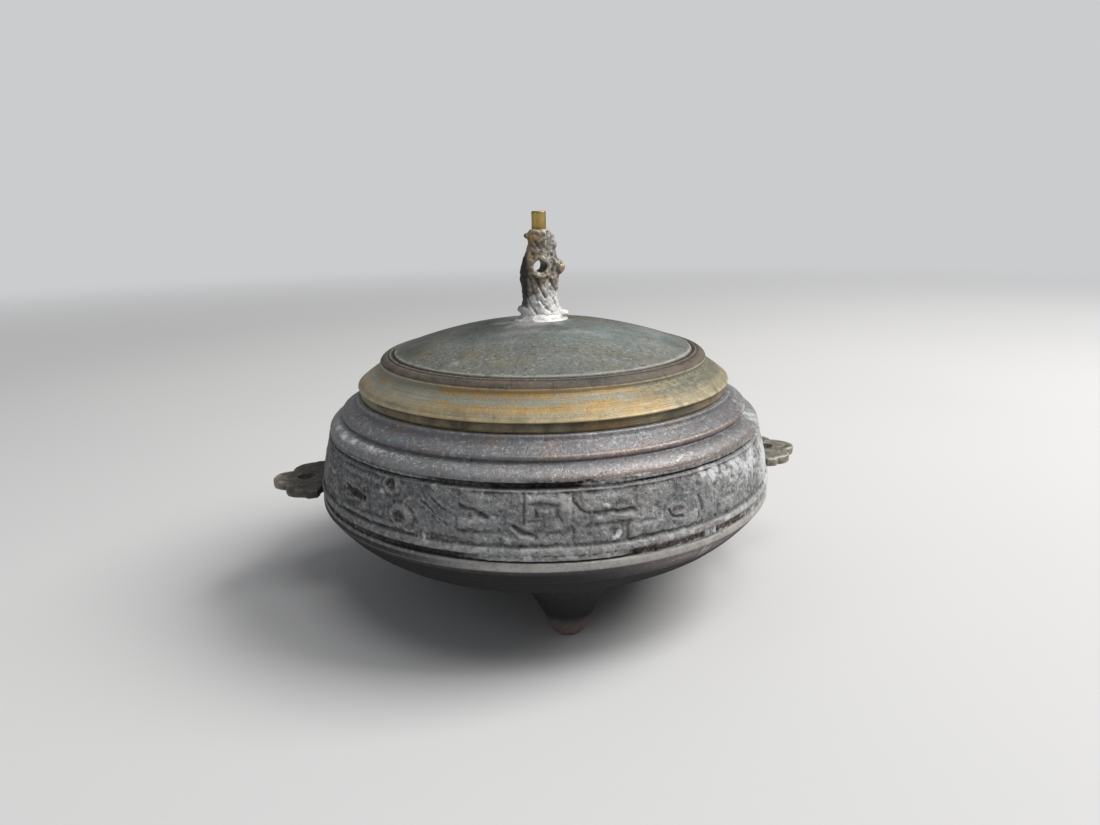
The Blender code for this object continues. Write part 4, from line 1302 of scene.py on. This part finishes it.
def add_block(bm, low, high):
    """A closed block between two corners in mm."""
    made = bmesh.ops.create_cube(bm, size=1.0)
    size = [b - a for a, b in zip(low, high)]
    bmesh.ops.scale(bm, vec=Vector(size) * MM, verts=made["verts"])
    middle = Vector([(a + b) / 2 for a, b in zip(low, high)]) * MM
    bmesh.ops.translate(bm, verts=made["verts"], vec=middle)


def lug_scrolls():
    """The scroll lines on a lug's face, as broken lines of (x, y) in mm."""
    curls = []
    for side in (-1, 1):
        turns = [radians(-150 + 45 * i) for i in range(8)]
        reach = [4.7 - 0.35 * i for i in range(8)]
        curls.append([(80.4 + r * cos(t), side * (7.9 + r * sin(t))) for t, r in zip(turns, reach)])
    tip = [radians(-110 + 27.5 * i) for i in range(9)]
    curls.append([(85.0 + 4.3 * cos(t), 4.3 * sin(t)) for t in tip])
    return curls


def shape_lug(mesh):
    """Cuts the scrolls into both faces and wears the plate."""
    points = read_points(mesh)
    x = points[:, 0] / MM
    y = points[:, 1] / MM
    depth = np.zeros(len(points))
    for line in lug_scrolls():
        depth = np.maximum(depth, 1 - smooth_step(0.1, 1.1, line_distance(x, y, line)))
    flat = smooth_step(0.6, 0.95, np.abs(read_normals(mesh)[:, 2]))
    skin = 0.14 * lumps(points, 3.4, 71) + 0.10 * lumps(points, 1.5, 72) + 0.05 * lumps(points, 0.8, 73)
    push_out(mesh, points, skin - 0.20 * depth * flat * (0.8 + 0.8 * lumps(points, 3.0, 74)))


def build_lug(name, turn, material, hole_radius):
    low = LUG_LOW + 0.35
    high = LUG_HIGH + 0.30
    bm = bmesh.new()
    add_disc(bm, LUG_TIP - 6.3, 0.0, 6.1, low, high)
    for side in (-1, 1):
        add_disc(bm, 80.2, side * 7.6, 6.3, low, high)
        add_disc(bm, 77.6, side * 12.6, 2.7, low, high)
    add_block(bm, (75.5, -15.3, low), (77.8, 15.3, high))
    add_block(bm, (75.5, -12.0, low), (82.0, 12.0, high))
    hole = bmesh.new()
    add_disc(hole, 81.0, 0.0, hole_radius, low - 3.0, high + 3.0)
    piece = pierced_skin(bm, hole, name, LUG_VOXEL * MM)
    even_out(piece.data, rounds=4)
    shape_lug(piece.data)
    points = read_points(piece.data)
    spots_and_painted_shade = 0.10 + 0.4 * smooth_step(0.1, 0.6, lumps(points, 3.0, 55))
    # Painted shadow of the bowl: the left lug is darkened towards its root
    if turn > 90:
        spots_and_painted_shade = spots_and_painted_shade + 0.62 * smooth_step(91.0, 84.0, points[:, 0] / MM)
    store(piece.data, {"dim": spots_and_painted_shade}, 0.85)
    piece.data.transform(Matrix.Rotation(radians(turn), 4, "Z"))
    dress(piece, material)
    mark_wear(piece.data, reach=0.12)
    return piece


# Knop, solder and pin

KNOP_TURN = 6.0
KNOP_VOXEL = 0.28
KNOP_HOLE = (-1.2, 17.0)
KNOP_HOLE_RADIUS = 2.0
PIN_SHIFT = -0.5


def knop_sections():
    """Height share of the knop, middle of the section across it, half width, half depth, in mm."""
    return (
        (0.00, 0.2, 7.1, 5.7), (0.05, -0.1, 7.0, 5.6), (0.15, -0.4, 6.1, 4.8),
        (0.25, -0.6, 5.7, 4.4), (0.35, -0.6, 6.2, 4.5), (0.45, -0.6, 6.5, 4.6),
        (0.56, -0.5, 6.5, 4.5), (0.66, -0.3, 6.1, 4.2), (0.75, -0.1, 5.0, 3.8),
        (0.83, 0.2, 4.4, 3.6), (0.92, -0.1, 4.2, 3.6), (1.00, -0.5, 3.3, 3.2),
    )


def knop_lobes():
    """Rounded lobes as (centre, half sizes, lean in degrees), in mm above the foot."""
    top = KNOP_TOP - KNOP_FOOT
    return (
        ((5.2, 0.0, 16.5), (2.7, 3.0, 2.7), 20.0), ((-3.6, 0.0, top - 2.3), (2.1, 1.6, 1.0), 20.0),
        ((3.3, 0.0, top - 2.3), (1.3, 1.9, 1.0), -20.0),
        ((3.7, 0.0, top - 5.0), (1.4, 2.4, 1.8), 0.0), ((-6.2, 0.0, 3.0), (2.0, 3.4, 1.3), 0.0),
        ((6.6, 0.0, 1.1), (2.5, 3.6, 1.0), 0.0),
    )


def add_loft(bm, sections, height, sides):
    """A closed body through oval sections: a ring, drawn up section by section."""
    ring = bmesh.ops.create_circle(bm, cap_ends=True, radius=1.0, segments=sides)["verts"]
    share, middle, wide, deep = sections[0]
    for vertex in ring:
        vertex.co = Vector((middle + wide * vertex.co.x, deep * vertex.co.y, height * share)) * MM
    face = ring[0].link_faces[0]
    foot = True
    for (_, m0, w0, d0), (share, m1, w1, d1) in zip(sections, sections[1:]):
        grown = bmesh.ops.extrude_face_region(bm, geom=[face], use_keep_orig=foot)["geom"]
        foot = False
        face = next(part for part in grown if isinstance(part, bmesh.types.BMFace))
        for vertex in face.verts:
            x = (vertex.co.x / MM - m0) / w0
            y = vertex.co.y / MM / d0
            vertex.co = Vector((m1 + w1 * x, d1 * y, height * share)) * MM
    bmesh.ops.recalc_face_normals(bm, faces=bm.faces)


def shape_knop(mesh):
    """Rims, folds and slits of the worn figure, on both faces, in its own upright frame."""
    points = read_points(mesh)
    x = points[:, 0] / MM
    z = points[:, 2] / MM
    face = smooth_step(0.3, 0.8, np.abs(read_normals(mesh)[:, 1]))
    hole = np.hypot(x - KNOP_HOLE[0], z - KNOP_HOLE[1])
    moves = 0.32 * np.exp(-((hole - 2.8) ** 2) / 0.5) * face
    moves = moves - 0.45 * smooth_step(0.8, 1.5, x) * smooth_step(19.5, 20.5, z) * face
    folds = (
        (((-4.9, 13.6), (-3.7, 9.4), (-2.4, 6.2)), 0.55, 0.60),
        (((-2.6, 12.8), (-1.4, 9.8), (0.2, 7.0)), 0.50, 0.55),
        (((2.0, 12.8), (3.0, 10.4), (4.6, 8.2)), 0.50, 0.55),
        (((-5.8, 7.6), (-4.6, 4.4), (-3.0, 2.0)), 0.45, 0.55),
        (((-1.6, 6.0), (0.4, 3.4), (2.0, 2.2)), 0.40, 0.35),
        (((3.0, 6.4), (4.4, 3.6)), 0.40, 0.40),
        (((4.6, 19.8), (5.6, 19.2), (6.6, 17.9)), 0.50, 0.95),
        (((3.2, 20.6), (3.4, 17.6), (2.8, 14.2)), 0.60, 0.55),
        (((-4.2, 22.6), (-3.6, 21.0)), 0.45, 0.45),
        (((-2.6, 24.8), (-1.4, 22.8)), 0.40, 0.35),
        (((-4.0, 14.8), (-1.4, 13.6), (1.2, 14.2)), 0.45, -0.28),
        (((-4.2, 12.4), (-3.0, 8.2), (-1.8, 5.0)), 0.45, -0.30),
    )
    for line, width, depth in folds:
        moves = moves - depth * (1 - smooth_step(0.0, width * 1.8, line_distance(x, z, line))) * face
    push_out(mesh, points, moves + 0.30 * lumps(points, 2.6, 81) + 0.26 * lumps(points, 1.2, 82))


def mark_knop(mesh):
    """Stores where the knop is brown, gold, soldered and darkened by painted shade, in its own upright frame.
    """
    points = read_points(mesh)
    x = points[:, 0] / MM
    z = points[:, 2] / MM
    wave = lumps(points, 4.0, 91)
    small = lumps(points, 1.6, 92)
    brown = oval_sum(x, z, [(-0.3, 11.5, 3.0, 3.0, 1.0)])
    places = [
        (-3.2, 26.0, 2.0, 2.0, 1.0), (-4.0, 20.0, 1.2, 4.0, 0.60), (6.6, 15.8, 1.3, 2.2, 0.65),
        (6.0, 2.6, 1.6, 1.6, 0.75),
    ]
    gold = oval_sum(x, z, places)
    solder = smooth_step(13.5, 6.5, z + 4.0 * wave + 2.0 * small - 0.45 * x)
    # Painted shade: the knop's left side is darkened
    shade = smooth_step(-4.7, -5.7, x + 0.4 * small) * smooth_step(2.0, 5.0, z) * 0.88
    cool = smooth_step(1.0, 1.8, x) * smooth_step(18.5, 20.5, z) * (1 - smooth_step(4.0, 4.8, x))
    store(mesh, {"brown": brown, "gold": gold, "solder": solder, "shade": shade, "cool": cool})


def seat_turn(height=KNOP_FOOT):
    """From the knop's own upright frame to its place on the lid."""
    return Matrix.Translation((0.0, 0.0, height * MM)) @ Matrix.Rotation(radians(KNOP_TURN), 4, "Z")


def build_knop(material):
    height = KNOP_TOP - KNOP_FOOT
    bm = bmesh.new()
    add_loft(bm, knop_sections(), height, sides=40)
    for centre, size, lean in knop_lobes():
        ball = bmesh.ops.create_uvsphere(bm, u_segments=24, v_segments=16, radius=MM)["verts"]
        bmesh.ops.scale(bm, vec=size, verts=ball)
        bmesh.ops.rotate(bm, matrix=Matrix.Rotation(radians(lean), 3, "Y"), verts=ball)
        bmesh.ops.translate(bm, vec=Vector(centre) * MM, verts=ball)
    hole = bmesh.new()
    wide = KNOP_HOLE_RADIUS * MM
    bmesh.ops.create_cone(hole, cap_ends=True, segments=40, radius1=wide, radius2=wide, depth=20.0 * MM)
    bmesh.ops.rotate(hole, matrix=Matrix.Rotation(pi / 2, 3, "X"), verts=hole.verts)
    bmesh.ops.translate(hole, vec=Vector((KNOP_HOLE[0], 0.0, KNOP_HOLE[1])) * MM, verts=hole.verts)
    piece = pierced_skin(bm, hole, "knop_dressed", KNOP_VOXEL * MM)
    even_out(piece.data, rounds=4)
    shape_knop(piece.data)
    mark_knop(piece.data)
    piece.data.transform(seat_turn())
    dress(piece, material)
    mark_wear(piece.data, reach=0.16)
    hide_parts("knop")


def build_solder(material):
    """An uneven collar of solder round the knop's foot, flowed out over the dome."""
    outline = [
        (5.0, -0.6), (9.0, -0.9), (9.3, -0.3), (8.6, 0.25), (7.9, 0.7), (7.2, 1.5),
        (6.6, 2.0), (5.0, 1.6), (5.0, -0.6),
    ]
    bm = spin_outline(spaced(outline, step=0.4)[:-1], steps=96, closed=True)
    bmesh.ops.scale(bm, vec=(1.0, 0.82, 1.0), verts=bm.verts)
    piece = add_piece("knop_solder", bm, material)
    points = read_points(piece.data)
    radius = turned_place(points)[0]
    uneven = 0.10 * lumps(points, 5.0, 95) + 0.05 * lumps(points, 2.0, 96)
    points[:, :2] *= (1.0 + uneven * smooth_step(5.5, 7.5, radius))[:, None]
    points[:, 2] += (0.25 * lumps(points, 3.0, 97)) * MM * smooth_step(5.5, 7.0, radius)
    points[:, 2] += (dome_height(turned_place(points)[0]) - LID_TOP) * MM
    write_points(piece.data, points)
    piece.data.transform(seat_turn(LID_TOP))
    mark_wear(piece.data, reach=0.12)


def build_pin(material):
    """The stub of brass rod, with its filed top edge."""
    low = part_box("pin")[0].z / MM - KNOP_FOOT
    top = PIN_TOP - KNOP_FOOT
    outline = [
        (0.0, top - 0.05), (1.0, top - 0.04), (1.95, top),
        *arc(1.95, top - 0.4, 0.4, 90, 0, 5),
        (2.35, top - 1.4), (2.33, top - 3.0), (2.35, top - 5.0), (2.34, low + 0.3), (2.1, low),
        (0.0, low),
    ]
    bm = spin_outline(spaced(outline, step=0.5), steps=64)
    bmesh.ops.translate(bm, verts=bm.verts, vec=(PIN_SHIFT * MM, 0.0, 0.0))
    bmesh.ops.transform(bm, matrix=seat_turn(), verts=bm.verts)
    piece = add_piece("pin_dressed", bm, material, sharp_from=60)
    roughen(piece.data, amount=0.02, size=1.5, seed=99)
    height = read_points(piece.data)[:, 2] / MM
    edge = smooth_step(PIN_TOP - 0.9, PIN_TOP - 0.2, height)
    foot = smooth_step(KNOP_TOP + 1.6, KNOP_TOP + 0.3, height)
    store(piece.data, {"tarnish": np.maximum(edge, foot) * 0.9})
    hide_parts("pin")


# Stage

FRAME_WIDTH = 1100
SENSOR_WIDTH = 36.0
FLOOR_RADIUS = 1.6
AIM = Vector((0.0, 0.0, 0.05))


def camera_place(stage):
    """The camera's place, from its distance, height and three small turns."""
    yaw = (cos(stage.camera_yaw), sin(stage.camera_yaw))
    pitch = (cos(stage.camera_pitch), sin(stage.camera_pitch))
    roll = (cos(stage.camera_roll), sin(stage.camera_roll))
    level = Vector((yaw[0], -yaw[1], 0.0))
    ahead = Vector((yaw[1] * pitch[0], yaw[0] * pitch[0], -pitch[1]))
    upward = Vector((yaw[1] * pitch[1], yaw[0] * pitch[1], pitch[0]))
    right = roll[0] * level + roll[1] * upward
    top = roll[0] * upward - roll[1] * level
    place = Matrix((right, top, -ahead)).transposed().to_4x4()
    place.translation = (0.0, -stage.camera_distance, stage.camera_height)
    return Matrix.Rotation(radians(FRIEZE_TURN), 4, "Z") @ place


def add_camera(stage):
    data = bpy.data.cameras.new("camera")
    data.sensor_width = SENSOR_WIDTH
    data.lens = stage.camera_focus / FRAME_WIDTH * SENSOR_WIDTH
    data.clip_start = 0.01
    data.clip_end = 50.0
    camera = add_object("camera", data)
    camera.matrix_world = camera_place(stage)
    bpy.context.scene.camera = camera


def add_light(name, place, size, power, colour):
    """A soft square light that looks at the bowl."""
    data = bpy.data.lights.new(name, "AREA")
    data.shape = "RECTANGLE"
    data.size = size[0]
    data.size_y = size[1]
    data.energy = power
    data.color = colour
    light = add_object(name, data)
    light.location = place
    aim = AIM - Vector(place)
    light.rotation_euler = aim.to_track_quat("-Z", "Y").to_euler()


def add_world(stage):
    """A pale room that is seen brighter than the light it gives, so that its light stays soft and low."""
    world = bpy.data.worlds.new("pale room")
    world.use_nodes = True
    nodes = Nodes(world.node_tree)
    back = world.node_tree.nodes["Background"]
    seen = nodes.add("ShaderNodeLightPath", {}, "Is Camera Ray")
    lit = [part * stage.room_strength for part in stage.room_colour]
    nodes.set(back.inputs["Color"], blend(seen, lit, stage.room_colour))
    bpy.context.scene.world = world


# Settings that a user would change


def colour_property(name, description, default):
    return bpy.props.FloatVectorProperty(
        name=name, description=description, default=default, subtype="COLOR", size=3, min=0.0, max=1.0
    )


def number_property(name, description, default, **more):
    return bpy.props.FloatProperty(name=name, description=description, default=default, **more)


COLOURS = {
    "bowl_dark": ("Darker clouds of the bowl's patina", (0.165, 0.162, 0.168)),
    "bowl_light": ("Lighter clouds of the bowl's patina", (0.275, 0.27, 0.278)),
    "cast_dark": ("Darker clouds of the sandy frieze", (0.215, 0.215, 0.218)),
    "cast_light": ("Lighter clouds of the sandy frieze", (0.39, 0.388, 0.386)),
    # bowl_shade is also the colour of the bowl's painted shade
    "bowl_shade": ("Dark grains of the bowl", (0.055, 0.055, 0.058)),
    "bowl_grain": ("Light grains of the bowl", (0.6, 0.605, 0.615)),
    "bowl_violet": ("Violet cast in the turned bands", (0.24, 0.2, 0.215)),
    # bowl_blue is also the colour of the painted bluish light on the bowl's left
    "bowl_blue": ("Blue-grey blots of the bowl", (0.19, 0.225, 0.255)),
    "bowl_brown": ("Brown blots of the bowl", (0.16, 0.138, 0.115)),
    # bowl_worn is also the colour of the painted light on the flange
    "bowl_worn": ("Bowl where its high points are rubbed", (0.46, 0.44, 0.41)),
    "copper": ("Copper-brown where the bowl's patina is thin", (0.31, 0.205, 0.165)),
    "rust": ("Red-brown bare recesses and underside", (0.115, 0.07, 0.052)),
    # crust is also the colour of the painted highlight on the left of the roll
    "crust": ("Pale mineral crust", (0.62, 0.635, 0.64)),
    "verdigris": ("Grains of pale blue-green mineral", (0.62, 0.68, 0.69)),
    # grime is also the colour of painted shade on the knop's left side and on the left lug
    "grime": ("Dirt in the hollows", (0.018, 0.017, 0.016)),
    # This colour is soot inside, and painted shade on the underside, the feet, the recesses and the left side
    "soot": ("Sooty underside and inside", (0.014, 0.0135, 0.013)),
    "dome_dark": ("Darker clouds of the lid's dome", (0.118, 0.127, 0.116)),
    "dome_light": ("Lighter clouds of the lid's dome", (0.2, 0.207, 0.195)),
    "dome_pale": ("Fine light grains of the dome", (0.42, 0.44, 0.425)),
    # dome_shade is also the colour of the dome's painted shade
    "dome_shade": ("Fine dark grains of the dome", (0.04, 0.042, 0.038)),
    "dome_teal": ("Teal blots on the dome", (0.18, 0.25, 0.245)),
    "dome_olive": ("Olive-brown blots on the dome", (0.175, 0.145, 0.075)),
    "dome_worn": ("Rubbed edge of the dome", (0.42, 0.4, 0.34)),
    "step_brown": ("Brown of the stepped moulding", (0.095, 0.055, 0.042)),
    "step_dark": ("Dark bands of the stepped moulding", (0.038, 0.033, 0.028)),
    "brim_gold": ("Olive gold of the brim", (0.41, 0.27, 0.1)),
    "brim_green": ("Grey-green bands of the brim", (0.28, 0.3, 0.255)),
    "brim_chalk": ("Pale grey-green bloom on the brim", (0.38, 0.4, 0.35)),
    "brim_brown": ("Brown streaks of the brim", (0.22, 0.125, 0.04)),
    "brim_grey": ("Grey deposit on the brim", (0.21, 0.235, 0.215)),
    # brim_olive is also the colour of painted shade on the brim's right side
    "brim_olive": ("Dark olive along the brim's lower side", (0.12, 0.118, 0.085)),
    "rim_olive": ("Olive-gold of the rim band", (0.24, 0.21, 0.135)),
    "rim_dark": ("Dark bands of the rim", (0.09, 0.08, 0.055)),
    "brim_worn": ("Rubbed edge of the brim", (0.62, 0.5, 0.3)),
    "knop_dark": ("Dark bronze of the knop", (0.085, 0.075, 0.065)),
    "knop_grey": ("Grey bronze of the knop", (0.26, 0.235, 0.2)),
    "knop_cool": ("Smooth grey face near the top", (0.2, 0.195, 0.2)),
    "knop_brown": ("Brown patch below the hole", (0.22, 0.13, 0.06)),
    "knop_gold": ("Gold-brown metal that shows on the knop", (0.48, 0.28, 0.085)),
    "knop_worn": ("Rubbed points of the knop", (0.55, 0.51, 0.43)),
    "solder": ("Pale solder", (0.74, 0.73, 0.715)),
    "solder_grey": ("Grey oxide on the solder", (0.36, 0.355, 0.35)),
    "lug_dark": ("Dark bronze of the lugs", (0.13, 0.125, 0.105)),
    "lug_light": ("Grey bronze of the lugs", (0.27, 0.265, 0.245)),
    "lug_tan": ("Tan streaks of the lugs", (0.3, 0.25, 0.17)),
    "lug_worn": ("Rubbed edges of the lugs", (0.5, 0.47, 0.4)),
    "brass": ("Bare brass of the pin", (0.84, 0.62, 0.23)),
    "brass_deep": ("Deeper tone of the brass", (0.6, 0.38, 0.09)),
    "brass_tarnish": ("Olive tarnish at the pin's ends", (0.2, 0.15, 0.04)),
    "floor_light": ("Pale floor", (0.6, 0.6, 0.6)),
    "floor_shade": ("Slightly darker floor", (0.57, 0.57, 0.575)),
}


class BurnerColours(bpy.types.PropertyGroup):
    """Colours of the patinas, deposits and bare metals."""

    __annotations__ = {
        key: colour_property(key.replace("_", " ").capitalize(), *row) for key, row in COLOURS.items()
    }


class BurnerForm(bpy.types.PropertyGroup):
    """Sizes of the finer forms."""

    frieze_relief: number_property(
        "Frieze relief", "How far the frieze's figures stand out", 0.00062, unit="LENGTH"
    )
    casting_skin: number_property("Casting skin", "Unevenness of the cast surfaces", 0.00006, unit="LENGTH")
    lug_hole: number_property("Lug hole", "Radius of the hole in each lug", 0.0029, unit="LENGTH")
    bowl_steps: bpy.props.IntProperty(name="Steps", description="Steps round the bowl", default=320, min=48)


class BurnerStage(bpy.types.PropertyGroup):
    """Camera, lights and room."""

    camera_focus: number_property("Focus", "Focal length in picture widths of 1100", 763.0, min=100.0)
    camera_distance: number_property("Distance", "Camera to the bowl's axis", 0.25409, unit="LENGTH")
    camera_height: number_property("Height", "Camera above the table", 0.12631, unit="LENGTH")
    camera_pitch: number_property("Pitch", "How far the camera looks down", 0.26524, unit="ROTATION")
    camera_yaw: number_property("Yaw", "How far the camera looks to the right", 0.00796, unit="ROTATION")
    camera_roll: number_property("Roll", "How far the camera leans", -0.01857, unit="ROTATION")
    key_power: number_property("Key", "Power of the large light at the upper right", 29.0, unit="POWER")
    top_power: number_property("Top", "Power of the soft light overhead", 6.0, unit="POWER")
    fill_power: number_property("Fill", "Power of the weak light at the left", 0.35, unit="POWER")
    room_colour: colour_property("Room colour", "Colour of the pale room", (0.60, 0.605, 0.615))
    room_strength: number_property(
        "Room", "Share of its tone that the room gives as light", 0.36, min=0.0
    )


# Operators


class BURNER_OT_bowl(bpy.types.Operator):
    """Builds the bowl with its frieze, and its three feet"""

    bl_idname = "burner.bowl"
    bl_label = "Bowl and feet"

    def execute(self, context):
        bowl = build_bowl(context.scene.burner_form, context.scene.burner_colours)
        build_feet(bowl.data.materials[0])
        return {"FINISHED"}


class BURNER_OT_lugs(bpy.types.Operator):
    """Builds the two pierced lugs"""

    bl_idname = "burner.lugs"
    bl_label = "Lugs"

    def execute(self, context):
        material = lug_finish(context.scene.burner_colours)
        for side, turn in (("right", 0.0), ("left", 180.0)):
            piece = build_lug(f"lug_{side}_dressed", turn, material, context.scene.burner_form.lug_hole / MM)
            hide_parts(f"lug_{side}")
        return {"FINISHED"}


class BURNER_OT_lid(bpy.types.Operator):
    """Builds the domed lid"""

    bl_idname = "burner.lid"
    bl_label = "Lid"

    def execute(self, context):
        build_lid(context.scene.burner_colours)
        return {"FINISHED"}


class BURNER_OT_knop(bpy.types.Operator):
    """Builds the pierced knop, the solder at its foot and the brass pin in its top"""

    bl_idname = "burner.knop"
    bl_label = "Knop, solder and pin"

    def execute(self, context):
        colours = context.scene.burner_colours
        build_knop(knop_finish(colours))
        build_solder(solder_finish(colours))
        build_pin(pin_finish(colours))
        return {"FINISHED"}


class BURNER_OT_stage(bpy.types.Operator):
    """Adds the pale floor, the room, the lights and the camera"""

    bl_idname = "burner.stage"
    bl_label = "Stage"

    def execute(self, context):
        stage = context.scene.burner_stage
        bm = bmesh.new()
        bmesh.ops.create_circle(bm, cap_ends=True, radius=FLOOR_RADIUS, segments=96)
        floor = add_object("floor", bm)
        floor.data.materials.append(floor_finish(context.scene.burner_colours))
        add_light("key", (1.02, -0.16, 1.18), (0.85, 0.85), stage.key_power, (1.0, 0.985, 0.96))
        add_light("top", (0.16, -0.55, 1.50), (0.8, 0.5), stage.top_power, (1.0, 1.0, 1.0))
        add_light("fill", (-0.75, -0.25, 0.45), (0.15, 0.5), stage.fill_power, (0.82, 0.90, 1.0))
        add_world(stage)
        add_camera(stage)
        context.scene.view_settings.view_transform = "Standard"
        return {"FINISHED"}


class BURNER_PT_panel(bpy.types.Panel):
    """Lists the pieces of the incense burner"""

    bl_idname = "BURNER_PT_panel"
    bl_label = "Incense burner"
    bl_space_type = "VIEW_3D"
    bl_region_type = "UI"
    bl_category = "Incense burner"

    def draw(self, context):
        column = self.layout.column()
        for operator in OPERATORS:
            column.operator(operator.bl_idname, text=operator.bl_label)
        for settings in (context.scene.burner_form, context.scene.burner_colours, context.scene.burner_stage):
            for name in settings.__annotations__:
                column.prop(settings, name)


OPERATORS = (BURNER_OT_bowl, BURNER_OT_lugs, BURNER_OT_lid, BURNER_OT_knop, BURNER_OT_stage)
CLASSES = (BurnerForm, BurnerColours, BurnerStage, *OPERATORS, BURNER_PT_panel)


def register():
    for each in CLASSES:
        bpy.utils.register_class(each)
    bpy.types.Scene.burner_form = bpy.props.PointerProperty(type=BurnerForm)
    bpy.types.Scene.burner_colours = bpy.props.PointerProperty(type=BurnerColours)
    bpy.types.Scene.burner_stage = bpy.props.PointerProperty(type=BurnerStage)


def unregister():
    del bpy.types.Scene.burner_stage
    del bpy.types.Scene.burner_colours
    del bpy.types.Scene.burner_form
    for each in reversed(CLASSES):
        bpy.utils.unregister_class(each)


def main():
    register()
    bpy.ops.burner.bowl()
    bpy.ops.burner.lugs()
    bpy.ops.burner.lid()
    bpy.ops.burner.knop()
    bpy.ops.burner.stage()


if __name__ == "__main__":
    main()
